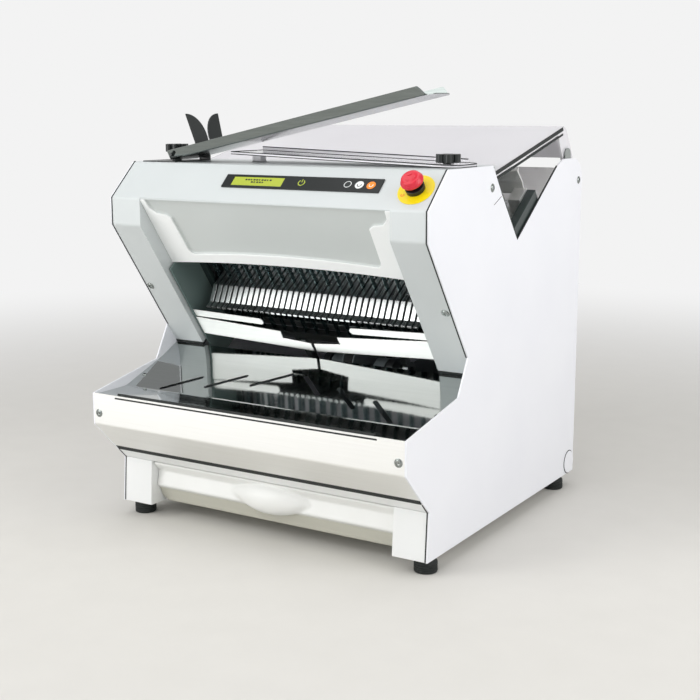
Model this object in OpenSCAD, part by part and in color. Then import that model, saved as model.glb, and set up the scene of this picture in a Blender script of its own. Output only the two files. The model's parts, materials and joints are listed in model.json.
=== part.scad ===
// Countertop bread slicer: folded body, two sliding blade frames, slotted bread bed,
// pusher, crumb drawer, clear lid and bagging scoop. All lengths in millimetres.
// +X is right, +Y is back, +Z is up; the origin is on the floor under the middle.

/* [Body] */
// Width over both side panels
body_w = 650; // [610:1:690]
// Depth from the nose screws to the rear edge
body_d = 700; // [690:1:720]
// Height of the top cover
cover_z = 659; // [645:1:675]
// Height of the underside above the floor
under_z = 28; // [25:1:32]
// Thickness of a side panel
panel_t = 3; // [2:0.5:4]
// Thickness of a folded sheet
sheet_t = 2; // [1.5:0.5:3]
// Radius of the rear upper corner
rear_r = 46; // [30:1:60]
// Face of the rear panel from the rear edge
rear_set = 13; // [10:1:20]

/* [Front outline] */
// Front end of the flat top
crest_y = -217; // [-225:1:-205]
// Run of the slanted fascia towards the front
fascia_run = 65; // [55:1:75]
// Drop of the slanted fascia
fascia_drop = 61; // [55:1:70]
// Height of the upright face below the fascia
face_h = 49; // [40:1:60]
// Length of the sloped pillar face
pillar_len = 296; // [285:1:305]
// Pillar width inside the panel
pillar_w = 66; // [60:1:72]
// Depth of the pillar's inner return
return_a = 33; // [28:1:38]
// Length of panel edge along the pillar
elbow_len = 250; // [230:1:265]
// Inner corner of the panel outline, from the middle
step_y = -172; // [-185:1:-160]
// Height of that inner corner
step_z = 283; // [275:1:292]
// Top of the nose
nose_top_z = 250; // [244:1:256]
// Lower end of the upright nose face
nose_low_z = 192; // [185:1:200]
// Front face of the columns
leg_y = -270; // [-280:1:-262]
// Forward lean of the legs
leg_lean = 6; // [3:1:8]
// Top of the columns
leg_top_z = 112; // [106:1:118]

/* [Chute] */
// Rise of the bread bed towards the back, in degrees
chute_pitch = 35.3; // [33:0.1:37]
// Bed base below the top of the pillar face
floor_drop = 216; // [206:1:226]
// Height of the panel notch edge over the bed base
notch_lift = 4; // [2:1:6]
// Bed run to the bottom of the notch
notch_apex = 257; // [250:1:265]
// Back end of the notch from the rear edge
notch_back = 123.5; // [115:0.5:132]
// Bed run to the upper front point of the notch
notch_front = 250; // [240:1:258]
// Height of that point over the bed base
notch_front_h = 114; // [100:1:125]
// Front end of the notch at the top
mouth_y = -55; // [-65:1:-48]
// Back end of the notch at the top, from the rear edge
mouth_back = 97; // [88:1:105]

/* [Cover and hood] */
// Rear edge of the top cover
cover_rear_y = -42; // [-50:1:-36]
// Turned-down lip at that edge
cover_lip = 18; // [10:1:24]
// Hood face behind the pillar face
hood_a = 27; // [24:1:29]
// Hood thickness
hood_t = 8; // [6.5:0.5:9]
// Hood lower corners over the bed base
hood_low = 106; // [98:1:114]
// Rise of the arched lower edge
hood_arch = 11; // [6:1:16]
// Depth of the pressed recess
recess_d = 5; // [3.5:0.5:5.5]
// Rise of the recess lower edge
recess_arch = 9; // [5:1:12]

/* [Controls] */
// Distance of the control strip below the crest
bezel_down = 40.5; // [36:0.5:45]
// Middle of the control strip from the emergency stop
bezel_off = 220.5; // [210:0.5:228]
// Control strip length
bezel_w = 313; // [300:1:320]
// Control strip height
bezel_h = 29; // [26:1:34]
// Control strip thickness
bezel_t = 2.5; // [2.2:0.1:3.5]
// Display left of the middle of the strip
lcd_off = 86.5; // [80:0.5:94]
// Display length
lcd_w = 104; // [90:1:115]
// Display height
lcd_h = 19.5; // [16:0.5:22]
// Display lens thickness
lcd_t = 2; // [1.5:0.1:2.2]
// Power key right of the middle of the strip
key_power_off = 3.5; // [0:0.5:8]
// Ring key right of the middle of the strip
key_ring_off = 93.5; // [86:0.5:97]
// White key right of the middle of the strip
key_white_off = 115.5; // [112:0.5:119]
// Amber key right of the middle of the strip
key_amber_off = 137.5; // [134:0.5:141]
// Key radius
key_r = 8; // [7:0.25:9]
// Key height
key_h = 2; // [1.8:0.1:2.4]
// Emergency stop from the side panel
estop_in = 37; // [34:1:42]
// Emergency stop below the crest
estop_down = 45; // [40:1:48]
// Legend disc radius
legend_r = 31; // [28:0.5:33]
// Legend disc thickness
legend_t = 1.5; // [1:0.1:2]
// Collar barrel radius
collar_r = 11; // [10:0.5:12]
// Collar flange radius
collar_flange_r = 16; // [14:0.5:18]
// Collar flange height
collar_flange_h = 8; // [6:0.5:10]
// Collar barrel depth behind the fascia
collar_depth = 22; // [18:1:28]
// Plunger radius
plunger_r = 7; // [6:0.5:8]
// Head radius
head_r = 19; // [17:0.5:22]
// Head height
head_h = 14; // [11:0.5:17]
// Free height under the head
head_gap = 6; // [5.5:0.5:8]

/* [Outlet] */
// Tray surface height at the nose
tray_z = 247; // [244:1:249]
// First tray fold
tray_bend_y = -262; // [-270:1:-255]
// Second tray fold
tray_knee_y = -157; // [-162:1:-150]
// Height of the second fold
tray_knee_z = 285; // [281:1:289]
// Tray sheet thickness
tray_t = 1.5; // [1:0.5:2.5]
// Crumb slot length
slot_len = 84; // [70:1:88]
// Crumb slot width
slot_w = 9; // [7:0.5:11]
// Crumb slot slant in degrees
slot_turn = 42; // [36:1:45]
// Crumb slot spacing
slot_pitch = 85.5; // [80:0.5:90]
// Middle of the lowest slots up the facet
slot_low = 33; // [31:1:36]
// Rise from one slot to the next
slot_rise = 24; // [20:1:25]
// Rubber edge strip short of the side panels
strip_short = 54; // [42:1:72]
// Rubber edge strip depth
edge_d = 4; // [3:0.5:6]
// Rubber edge strip height
edge_h = 4.5; // [3.5:0.5:6]
// Apron flange length under the nose
apron_flange = 73; // [65:1:78]
// Dark gap below the apron
shadow_gap = 10; // [7:1:14]
// Front face of the outlet plates behind the pillar face
leaf_a = 10; // [8:1:14]
// Outlet plate thickness
leaf_t = 2; // [1.5:0.5:3]
// Depth of the outlet plates below the bed base
leaf_drop = 74; // [66:1:78]

/* [Base and drawer] */
// Sill width inside the panel
sill_w = 64; // [60:1:67]
// Rear end of the sills from the rear panel
sill_short = 7; // [3:1:17]
// Wall of the sills
sill_t = 3; // [2:0.5:4]
// Rear cross member depth
cross_d = 30; // [20:1:40]
// Rear cross member height
cross_h = 40; // [30:1:60]
// Runner width
runner_w = 12; // [10:1:13]
// Runner height
runner_h = 11; // [8:1:14]
// Rear end of the runners
runner_rear_y = 60; // [40:1:90]
// Front end of the runners
runner_front_y = -200; // [-215:1:-180]
// Deck rim beside the crumb window
window_in = 22; // [18:1:38]
// Front edge of the crumb window
window_front_y = -235; // [-240:1:-225]
// Rear edge of the crumb window
window_rear_y = 5; // [-10:1:15]
// Room between the drawer and a sill
bin_gap = 14; // [13:1:20]
// Drawer back end
bin_rear_y = 60; // [40:1:80]
// Drawer front wall
bin_front_y = -240; // [-246:1:-236]
// Drawer floor height
bin_z = 36; // [34:1:40]
// Drawer rim height
bin_top_z = 103; // [100:1:106]
// Drawer wall
bin_t = 2.5; // [2:0.5:3.5]
// Drawer rim width
rim_w = 10; // [8:1:11]
// Middle of the drawer grip
grip_z = 79; // [77:1:81]
// Grip radius
grip_r = 31; // [28:0.5:33]
// Grip half length
grip_half = 92; // [84:1:100]
// Grip axis
grip_y = -247; // [-250:1:-244]
// Drawer front corner cut width
corner_w = 18; // [12:1:20]
// Drawer front corner cut height
corner_h = 11; // [8:1:13]
// Foot radius
foot_r = 20; // [16:0.5:22]
// Feet from the side panels
foot_in = 19; // [18:1:24]
// Front feet
foot_front_y = -240; // [-246:1:-232]
// Rear feet from the rear edge
foot_rear_in = 50; // [44:1:60]

/* [Bread bed] */
// Slice thickness
slice = 12.4; // [12:0.1:13]
// Bar width
bar_w = 8.6; // [8:0.1:9]
// Bar height over the bed base
bar_h = 17.5; // [15:0.5:19]
// Front tip of the bars
bar_tip = 25; // [22:1:30]
// Bed run to the foot of the chamfer
bar_foot = 39; // [35:1:44]
// Bed run to the head of the chamfer
bar_head = 68; // [60:1:74]
// Bar lip thickness
lip_t = 4; // [3:0.5:5]
// Front edge of the bed plate
plate_a = 150; // [146:1:156]
// Rear edge of the bed
bed_a = 371; // [360:1:378]
// Bed plate thickness
plate_t = 6; // [4:0.5:8]
// Pusher rail width
rail_w = 16; // [12:1:18]
// Pusher rail height
rail_h = 26; // [20:1:30]
// Ceiling over the bed base
ceiling_h = 179; // [175:1:182]
// Rear end of the ceiling
ceiling_a = 222; // [210:1:226]
// Height of the rear shelf
shelf_z = 612; // [605:1:616]

/* [Blades] */
// Blade thickness
blade_t = 0.6; // [0.5:0.1:0.8]
// Blade depth
blade_d = 11; // [9:0.5:12]
// Front frame behind the pillar face
front_a = 95; // [94:0.5:97]
// Rear frame behind the pillar face
rear_a = 125; // [123:0.5:126]
// Frame bar depth
frame_d = 14; // [12:0.5:15]
// Frame bar height
frame_h = 16; // [12:0.5:20]
// Upper frame bar over the bed base
frame_top = 170; // [166:1:174]
// Lower frame bar under the bed base
frame_low = -114; // [-118:1:-112]
// Room between a frame and a cheek
frame_gap = 4; // [2:1:8]
// Side rail width
frame_w = 8; // [6:0.5:9]
// Guide strip reach from the cheek
guide_w = 14; // [10:0.5:16]
// Guide strip depth
guide_d = 7.7; // [6:0.1:9]
// Guide upper end
guide_top = 150; // [140:1:152]
// Guide lower end
guide_low = -96; // [-98:1:-80]
// Inner face of the cheeks from the pillar
cheek_set = 6; // [4:0.5:7]
// Cheek thickness
cheek_t = 4; // [3:0.5:5]
// Cheek rear edge behind the pillar face
cheek_a = 142; // [141:0.5:145]
// Cheek upper edge
cheek_top = 156; // [153:1:165]
// Cheek lower edge
cheek_low = -134; // [-140:1:-125]
// Cheek corner cut
cheek_cut = 30; // [15:1:45]
// Cheek spacer radius
spacer_r = 9; // [7:0.5:12]

/* [Pusher] */
// Pusher short of the side panels
push_short = 22; // [18:1:32]
// Pusher plate thickness
push_t = 3; // [2:0.5:4]
// Pusher plate height
push_h = 58; // [50:1:65]
// Shoe length
shoe_len = 36; // [30:1:50]
// Shoe width
shoe_w = 24; // [18:1:28]
// Shoe height
shoe_h = 30; // [27:1:36]

/* [Drive] */
// Crank axis behind the pillar face
crank_a = 110; // [108:0.5:112]
// Crank axis under the bed base
crank_drop = 224; // [220:1:230]
// Crank throw
crank_throw = 12; // [10:0.5:12]
// Crankshaft radius
shaft_r = 12.5; // [11:0.5:14]
// Crank disc radius
disc_r = 30; // [29:0.5:33]
// Crank disc thickness
disc_t = 14; // [10:0.5:16]
// Inner face of a crank disc
disc_x = 64; // [62:0.5:68]
// Crank pin radius
crank_pin_r = 8; // [6:0.5:9]
// Crank pin length
crank_pin_len = 11.5; // [8:0.5:14]
// Connecting rod thickness
rod_t = 12; // [9:0.5:13]
// Rod big end radius
rod_big_r = 17; // [15:0.5:19]
// Rod small end radius
rod_small_r = 13; // [11:0.5:14]
// Rod shank width
rod_w = 14; // [10:0.5:18]
// Wrist pin radius
wrist_r = 6; // [5:0.5:7]
// Wrist pin below the lower frame bar
wrist_drop = 18; // [16:0.5:22]
// Lug thickness
lug_t = 10; // [8:0.5:12]
// Crank pulley radius
crank_pulley_r = 60; // [50:1:66]
// Motor pulley radius
motor_pulley_r = 26; // [22:1:30]
// Pulley flange height
flange_h = 5; // [3.5:0.5:7]
// Pulley flange thickness
flange_t = 3; // [2:0.5:4]
// Belt width
belt_w = 18; // [14:1:19]
// Belt thickness
belt_t = 4; // [3:0.5:4.5]
// Pulley groove width
groove_w = 20; // [19.5:0.5:22]
// Inner face of a bearing stand
stand_x = 36; // [32:0.5:38]
// Bearing stand width
stand_w = 24; // [18:0.5:25]
// Bearing stand depth
stand_d = 56; // [50:1:64]
// Motor axis from the rear panel
motor_in = 102; // [97:1:112]
// Motor axis over the deck
motor_h = 70; // [66:1:80]
// Motor radius
motor_r = 62; // [55:1:64]
// Motor length
motor_len = 176; // [150:1:190]
// Motor front face
motor_x = 26; // [24:1:32]
// Motor shaft radius
motor_shaft_r = 9; // [7:0.5:10]
// Motor shaft depth in the motor
motor_bore = 40; // [30:1:50]
// Motor foot thickness
motor_foot_t = 8; // [6:0.5:10]
// Control box width
box_w = 180; // [150:1:200]
// Control box depth
box_d = 110; // [90:1:130]
// Control box height
box_h = 120; // [90:1:140]
// Control box middle from the left panel
box_in = 172; // [162:1:182]
// Control box underside
box_z = 330; // [320:1:345]
// Cable gland height
gland_z = 290; // [270:1:300]
// Cable gland radius
gland_r = 8; // [6:0.5:10]

/* [Lid] */
// Room between the lid and a side panel
lid_gap = 4; // [3:0.5:8]
// Lid sheet thickness
lid_t = 4; // [3:0.5:5]
// Lid side flange height
lid_flange = 10; // [8:0.5:14]
// Lid side flange thickness
lid_side_t = 5; // [4:0.5:6]
// Slant of the lid's flange ends in degrees
edge_turn = 20; // [15:1:25]
// Lid front edge
lid_front_y = -31; // [-36:1:-28]
// Lid front edge below the cover
lid_front_drop = 10; // [7:1:14]
// Lid rear fold from the rear edge
lid_rear_in = 83; // [78:1:90]
// Lid rear fold over the cover
lid_rear_h = 60.5; // [54:0.5:66]
// Second fold behind the first
lid_fold_run = 14; // [10:1:18]
// Second fold below the first
lid_fold_drop = 7.5; // [5:0.5:10]
// Flap run to the back
flap_run = 34; // [28:1:36]
// Flap drop
flap_drop = 51; // [44:1:53]
// Hinge axis from the rear edge
hinge_in = 68; // [64:1:72]
// Hinge axis over the cover
hinge_h = 6; // [4:1:9]
// Hinge pin radius
hinge_r = 4; // [3:0.5:5]
// Hinge lug half width
hinge_half = 14; // [11:0.5:16]
// Hinge lug depth under the axis
hinge_low = 36; // [25:1:40]
// Hinge lug thickness
hinge_t = 2.6; // [2:0.1:2.8]
// Hinge pin reach from the lug
hinge_pin_len = 12; // [10:0.5:14]

/* [Scoop] */
// Scoop hinge from the left panel
scoop_in = 79; // [76:1:82]
// Scoop middle line
scoop_y = -159; // [-162:1:-156]
// Scoop hinge over the cover
scoop_h = 14; // [13:0.5:16]
// Scoop rise in degrees
scoop_rise = 12; // [11:0.5:13]
// Scoop shorter than the distance of the knobs
scoop_short = 32; // [23:1:48]
// Scoop tail behind the hinge
scoop_tail = 10; // [8:0.5:11]
// Scoop half width
scoop_half = 46; // [42:0.5:47]
// Scoop floor half width
scoop_floor_half = 40; // [36:0.5:41]
// Scoop wall height
scoop_wall = 16; // [13:0.5:18]
// Scoop sheet thickness
scoop_t = 1.5; // [1:0.1:2]
// Radius of the scoop mouth corners
scoop_round = 30; // [20:1:40]
// Horns along the scoop
horn_x = 54; // [50:1:60]
// Horn thickness
horn_t = 3; // [2:0.5:5]
// Half gap between the horns
horn_gap = 5; // [4:0.5:7]
// Horn tip from the middle line
horn_reach = 55; // [50:1:60]
// Horn curve radius
horn_r = 50; // [45:1:54]
// Horn tip height over the hinge
horn_h = 62; // [56:1:66]
// Bracket ear thickness
ear_t = 4; // [3:0.5:5]
// Bracket ear half width
ear_half = 12; // [9:0.5:14]
// Bracket plate from the left panel
bracket_in = 16; // [12:1:22]
// Bracket plate thickness
bracket_t = 2; // [1.5:0.1:2.2]
// Bracket pin radius
stub_r = 3; // [2.5:0.1:3.5]
// Base strip left end from the left knob
base_gap = 156; // [148:1:173]
// Base strip right end from the right knob
base_right = 32; // [28:1:36]
// Base strip slope in degrees
base_slope = 2; // [1.5:0.1:2.3]
// Base strip front edge
base_front_y = -180; // [-186:1:-170]
// Base strip rear edge
base_rear_y = -80; // [-88:1:-74]
// Base strip thickness
base_t = 4; // [3:0.5:5]
// Base strip rear lip
base_lip = 10; // [7:0.5:13]
// Base strip over the cover at the knob
base_h = 1.6; // [1.5:0.1:2.5]
// Base strip end radius
base_round = 26; // [15:1:30]
// Base strip foot length
base_foot = 18; // [12:1:24]
// Knobs from the side panels
knob_in = 38; // [36:0.5:39]
// Knob axis
knob_y = -140; // [-146:1:-134]
// Left knob head underside over the cover
knob_left_z = 16.5; // [14:0.5:19]
// Right knob head underside over the cover
knob_right_z = 7.5; // [7:0.5:10]
// Knob head height
knob_h = 14; // [11:0.5:17]
// Knob lobe circle
knob_r = 15; // [12:0.5:15]
// Knob lobe radius
lobe_r = 7; // [5:0.5:7.5]
// Knob lobe count
lobe_n = 6; // [5:1:8]
// Knob collar radius
knob_neck_r = 9; // [7:0.5:11]
// Knob stud radius
stud_r = 4; // [3:0.5:5]
// Knob stud end below the cover
stud_low = 12; // [8:1:16]

/* [Fasteners] */
// Screw head radius
screw_r = 7.5; // [6.5:0.25:8.5]
// Tray screw head radius
tray_screw_r = 4.5; // [3.5:0.1:5.5]
// Screws from the side panels
screw_in = 11; // [10:0.5:13]
// Screw head height
screw_h = 2; // [1.5:0.1:2.5]
// Screw shank radius
shank_r = 2; // [1.5:0.1:2.5]
// Cap plug radius
plug_r = 22.5; // [18:0.5:23]
// Cap plug height
plug_h = 2; // [1.5:0.1:3]
// Cap plug from the rear edge
plug_in = 25; // [23:1:30]
// Cap plug height over the floor
plug_z = 51; // [48:1:56]

/* [Fits] */
// Running fit on a pin or shaft
run_fit = 0.05; // [0.02:0.01:0.1]
// Gap between neighbouring pieces
seat = 0.3; // [0.2:0.05:0.5]
// Overrun of cutting bodies
cut = 1; // [0.5:0.5:2]

/* [Hidden] */
$fn = 48;
// Outline factors: fractions of a width and a height
recess_shares = [[0.96, 1.03], [0.953, 0.88], [0.91, 0.8], [0.836, 0.78], [0.797, 0.73],
    [0.787, 0.24], [0.775, 0.19], [0.754, 0.169]];
leaf_shares = [[0.012, 1], [1, 0.797], [1, 0.223], [0.244, 0.426], [0.248, 0.655], [0.012, 0.743]];
strap_shares = [[0.4, 0.27], [1, 0.203], [1, -0.013], [0.4, 0.081]];
spacer_shares = [[0.35, 0.1], [0.9, 0.1], [0.35, 0.9], [0.9, 0.9]];
front_shares = [[0, 0.955], [0.87, 0.955], [0.4, 0.75], [0.37, 0.71], [0.6, 0.4], [0.2, 0.285],
    [0.1, 0], [0, 0]];
push_shares = [[0.6, 0], [1, 0.43], [0, 0.93], [1.2, 1]];
// Steps along a drawn curve
arc_n = 10;
nose_y = screw_h - body_d / 2;
rear_y = body_d / 2;
inner_x = body_w / 2 - panel_t;
rear_panel_y = rear_y - rear_set;
mouth_rear_y = rear_y - mouth_back;
hinge_y = rear_y - hinge_in;
lid_rear_y = rear_y - lid_rear_in;
plug_y = rear_y - plug_in;
foot_rear_y = rear_y - foot_rear_in;
sill_rear_y = rear_panel_y - sill_short;
motor_y = rear_panel_y - motor_in;
foot_x = inner_x - foot_in;
pillar_in = inner_x - pillar_w;
cheek_in = pillar_in - cheek_set;
frame_out = cheek_in - frame_gap;
// Odd number of bars that fits between the side rails of the frames
bar_n = 2 * floor((frame_out - frame_w) / slice) - 1;
strip_half = inner_x - strip_short;
sill_in = inner_x - sill_w;
window_half = sill_in - window_in;
bin_half = sill_in - bin_gap;
push_half = inner_x - push_short;
lid_half = inner_x - lid_gap;
knob_x = inner_x - knob_in;
scoop_x = scoop_in - inner_x;
scoop_len = 2 * knob_x - scoop_short;
bracket_x = bracket_in - inner_x;
base_left = 2 * knob_x - base_gap;
estop_x = inner_x - estop_in;
bezel_x = estop_x - bezel_off;
lcd_x = bezel_x - lcd_off;
crest = [crest_y, cover_z];
brow = [crest_y - fascia_run, cover_z - fascia_drop];
chin = [brow[0], brow[1] - face_h];
fascia_pitch = atan2(fascia_drop, fascia_run);
chute_at = chin + floor_drop * [sin(chute_pitch), -cos(chute_pitch)];
notch_reach = (rear_y - notch_back - chute_at[0]) / cos(chute_pitch);
pillar_low = floor_drop - pillar_len;
pillar_foot = from_chute([0, pillar_low]);
brow_in = to_chute(brow);
hood_top = brow_in[1] - sheet_t - seat;
hood_r = (pillar_in * pillar_in + hood_arch * hood_arch) / (2 * hood_arch);
skirt_dir = unit([leg_y, leg_top_z] - [nose_y, nose_low_z]);
facet = [tray_knee_y - tray_bend_y, tray_knee_z - tray_z];
facet_pitch = atan2(facet[1], facet[0]);
key_power_x = bezel_x + key_power_off;
key_ring_x = bezel_x + key_ring_off;
key_white_x = bezel_x + key_white_off;
key_amber_x = bezel_x + key_amber_off;
key_xs = [key_power_x, key_ring_x, key_white_x, key_amber_x];
head_z = legend_t + collar_flange_h + head_gap;
deck_top = leg_top_z + sheet_t;
crank_at = from_chute([crank_a, -crank_drop]);
motor_at = [motor_y, deck_top + motor_h];
rod_x = disc_x + disc_t + crank_pin_len + cut / 2;
wrist_z = frame_low - frame_h - wrist_drop;
hinge_z = cover_z + hinge_h;
lid_front = [lid_front_y, cover_z - lid_front_drop];
lid_top = [lid_rear_y, cover_z + lid_rear_h];
lid_fold = lid_top + [lid_fold_run, -lid_fold_drop];
lid_end = lid_fold + [flap_run, -flap_drop];
lid_edge = lid_flange * [sin(edge_turn), -cos(edge_turn)];
screw_hole_r = shank_r + seat;
panel_screws = [[crest_y * 0.26, cover_z * 0.944], [rear_panel_y * 0.985, cover_z * 0.935]];
screw_x = inner_x - screw_in;
box_x = box_in - inner_x;
apron_screw_z = (nose_top_z + nose_low_z) / 2 - screw_r;
tray_screw_s = norm(facet) * 0.38;
pillar_screw_z = floor_drop * 0.31;
scoop_base = -scoop_wall / 2;
panel_outline = concat([crest, brow, chin, from_chute([0, floor_drop - elbow_len]), [step_y, step_z],
    [nose_y, nose_top_z], [nose_y, nose_low_z], [leg_y, leg_top_z], [leg_y - leg_lean, under_z],
    [rear_y, under_z]],
    arc([rear_y - rear_r, cover_z - rear_r], rear_r, 0, 90),
    [[mouth_rear_y, cover_z], from_chute([notch_reach, notch_lift]), from_chute([notch_apex, notch_lift]),
    from_chute([notch_front, notch_front_h]), [mouth_y, cover_z]]);

function unit(v) = v / norm(v);
function turned(p, a) = [p[0] * cos(a) - p[1] * sin(a), p[0] * sin(a) + p[1] * cos(a)];
function from_chute(p) = chute_at + turned(p, chute_pitch);
function to_chute(p) = turned(p - chute_at, -chute_pitch);
function on_skirt(d) = [nose_y, nose_low_z] + d * skirt_dir;
function down_fascia(d) = crest + d * unit(brow - crest);
function rim(c, r, a) = c + r * [cos(a), sin(a)];
function arc(c, r, a0, a1) = [for (i = [0:arc_n]) rim(c, r, a0 + (a1 - a0) * i / arc_n)];
function left_of(a, b) = turned(unit(b - a), 90);
function before(p, i) = i > 0 ? left_of(p[i - 1], p[i]) : left_of(p[i], p[i + 1]);
function after(p, i) = i < len(p) - 1 ? left_of(p[i], p[i + 1]) : before(p, i);
function mitre(p, i) = (before(p, i) + after(p, i)) / (1 + before(p, i) * after(p, i));
// Outline of a sheet folded along the points, thickness to the left of the path
function folded(p, t) = concat(p, [for (i = [len(p) - 1:-1:0]) p[i] + t * mitre(p, i)]);
// Tangent lines of a belt round two circles
function belt_turn(r1, r2, d) = acos((r1 - r2) / d);
function belt_sides(c1, r1, c2, r2) =
    let (v = c2 - c1, g = atan2(v[1], v[0]), t = belt_turn(r1, r2, norm(v)))
    [rim(c1, r1, g + t), rim(c2, r2, g + t), rim(c2, r2, g - t), rim(c1, r1, g - t)];

// Extrudes a side-view outline from one X to another
module slab(x0, x1) {
    translate([x0, 0, 0]) rotate([90, 0, 90]) linear_extrude(x1 - x0) children();
}
// Extrudes a front-view outline from one depth towards the front
module front_sheet(y, t) {
    translate([0, y + t, 0]) rotate([90, 0, 0]) linear_extrude(t) children();
}
module both() {
    children();
    mirror([1, 0, 0]) children();
}
module block(lo, hi) {
    translate(lo) cube(hi - lo);
}
module round_bar(x0, x1, p, r) {
    translate([x0, p[0], p[1]]) rotate([0, 90, 0]) cylinder(h = x1 - x0, r = r);
}
module in_chute() {
    translate([0, chute_at[0], chute_at[1]]) rotate([chute_pitch, 0, 0]) children();
}
module on_fascia(x, d) {
    translate([x, down_fascia(d)[0], down_fascia(d)[1]]) rotate([fascia_pitch, 0, 0]) children();
}
module on_facet(x, s) {
    translate([x, tray_bend_y + s * cos(facet_pitch), tray_z + s * sin(facet_pitch)])
        rotate([facet_pitch, 0, 0]) children();
}
module on_scoop() {
    translate([scoop_x, scoop_y, cover_z + scoop_h]) rotate([0, -scoop_rise, 0]) children();
}
module on_base_strip() {
    translate([knob_x, 0, cover_z + base_h]) rotate([0, base_slope, 0]) children();
}

module side_panel() {
    difference() {
        slab(inner_x, body_w / 2) polygon(panel_outline);
        for (p = panel_screws) round_bar(inner_x - cut, body_w / 2 + cut, p, screw_hole_r);
        round_bar(inner_x - cut, body_w / 2 + cut, [plug_y, plug_z], plug_r * 0.8 + seat);
    }
}
module side_panel_right() {
    color("gainsboro") side_panel();
}
module side_panel_left() {
    color("gainsboro") mirror([1, 0, 0]) side_panel();
}

module base_frame() {
    color("gainsboro") union() {
        both() {
            difference() {
                slab(sill_in, inner_x) polygon([[leg_y, leg_top_z], [leg_y - leg_lean, under_z],
                    [sill_rear_y, under_z], [sill_rear_y, leg_top_z]]);
                slab(sill_in + sill_t, inner_x - sill_t) polygon([[leg_y + sill_t, leg_top_z - sill_t],
                    [leg_y - leg_lean + sill_t, under_z + sill_t], [sill_rear_y + cut, under_z + sill_t],
                    [sill_rear_y + cut, leg_top_z - sill_t]]);
            }
            block([sill_in - runner_w, runner_front_y, bin_top_z - bin_t - seat - runner_h],
                [sill_in + sill_t / 2, runner_rear_y, bin_top_z - bin_t - seat]);
        }
        block([-sill_in - sill_t / 2, sill_rear_y - cross_d, under_z],
            [sill_in + sill_t / 2, sill_rear_y, under_z + cross_h]);
    }
}

module crumb_deck() {
    color("lightgray") difference() {
        slab(-inner_x, inner_x) polygon(folded([on_skirt(apron_flange + shadow_gap), [leg_y, leg_top_z],
            [sill_rear_y, leg_top_z]], sheet_t));
        block([-window_half, window_front_y, leg_top_z - cut], [window_half, window_rear_y, deck_top + cut]);
    }
}

module feet() {
    color("black") for (x = [-foot_x, foot_x], y = [foot_front_y, foot_rear_y]) translate([x, y, 0])
        rotate_extrude() polygon([[0, 0], [foot_r * 0.9, 0], [foot_r, under_z * 0.12], [foot_r, under_z * 0.6],
            [foot_r * 0.8, under_z * 0.72], [foot_r * 0.8, under_z], [0, under_z]]);
}

module rear_panel() {
    color("gainsboro") difference() {
        block([-inner_x, rear_panel_y, under_z], [inner_x, rear_panel_y + panel_t, shelf_z]);
        translate([box_x, rear_panel_y - cut, gland_z]) rotate([-90, 0, 0])
            cylinder(h = panel_t + 2 * cut, r = gland_r + seat);
        for (i = [0:5]) translate([motor_x, rear_panel_y - cut, deck_top + motor_h * (0.4 + i * 0.25)])
            cube([motor_len, panel_t + 2 * cut, slot_w]);
    }
}

module front_cover() {
    color("whitesmoke") difference() {
        union() {
            slab(-inner_x, inner_x) polygon(folded([[cover_rear_y, cover_z - cover_lip],
                [cover_rear_y, cover_z], crest, brow], sheet_t));
            both() {
                slab(pillar_in, inner_x) polygon(folded([brow, chin, pillar_foot], sheet_t));
                slab(pillar_in, pillar_in + sheet_t) polygon([brow, chin, pillar_foot,
                    from_chute([return_a, pillar_low]), from_chute([return_a, brow_in[1]])]);
            }
        }
        on_fascia(estop_x, estop_down) translate([0, 0, -sheet_t - cut])
            cylinder(h = sheet_t + 2 * cut, r = collar_r + seat);
        for (x = [-knob_x, knob_x]) translate([x, knob_y, cover_z - sheet_t - cut])
            cylinder(h = sheet_t + 2 * cut, r = stud_r + run_fit);
        both() in_chute() translate([screw_x, -cut, pillar_screw_z]) rotate([-90, 0, 0])
            cylinder(h = sheet_t + 2 * cut, r = screw_hole_r);
    }
}

module hood_guard() {
    recess = [for (s = recess_shares) [s[0] * pillar_in, hood_low + s[1] * (hood_top - hood_low)]];
    foot = recess[len(recess) - 1];
    curve_r = (foot[0] * foot[0] + recess_arch * recess_arch) / (2 * recess_arch);
    half = asin(foot[0] / curve_r);
    color("white") in_chute() difference() {
        front_sheet(hood_a, hood_t) difference() {
            translate([-pillar_in, hood_low]) square([2 * pillar_in, hood_top - hood_low]);
            translate([0, hood_low + hood_arch - hood_r]) circle(r = hood_r, $fn = 720);
        }
        front_sheet(hood_a - cut, recess_d + cut) polygon(concat(recess,
            arc([0, foot[1] + recess_arch - curve_r], curve_r, 90 - half, 90 + half),
            [for (i = [len(recess) - 1:-1:0]) [-recess[i][0], recess[i][1]]]));
    }
}

module display_bezel() {
    color("black") on_fascia(bezel_x, bezel_down) difference() {
        translate([-bezel_w / 2, -bezel_h / 2, 0]) cube([bezel_w, bezel_h, bezel_t]);
        translate([lcd_x - bezel_x - lcd_w / 2 - seat, -lcd_h / 2 - seat, -cut])
            cube([lcd_w + 2 * seat, lcd_h + 2 * seat, bezel_t + 2 * cut]);
        for (x = key_xs) translate([x - bezel_x, 0, -cut]) cylinder(h = bezel_t + 2 * cut, r = key_r + run_fit);
    }
}
module lcd_window() {
    color("yellowgreen") on_fascia(lcd_x, bezel_down)
        block([-lcd_w / 2, -lcd_h / 2, 0], [lcd_w / 2, lcd_h / 2, lcd_t]);
}
module key(x) {
    on_fascia(x, bezel_down) translate([0, 0, bezel_t + seat - key_h]) cylinder(h = key_h, r = key_r);
}
module key_power() {
    color("gray") key(key_power_x);
}
module key_ring() {
    color("gray") key(key_ring_x);
}
module key_white() {
    color("white") key(key_white_x);
}
module key_amber() {
    color("orange") key(key_amber_x);
}

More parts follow.
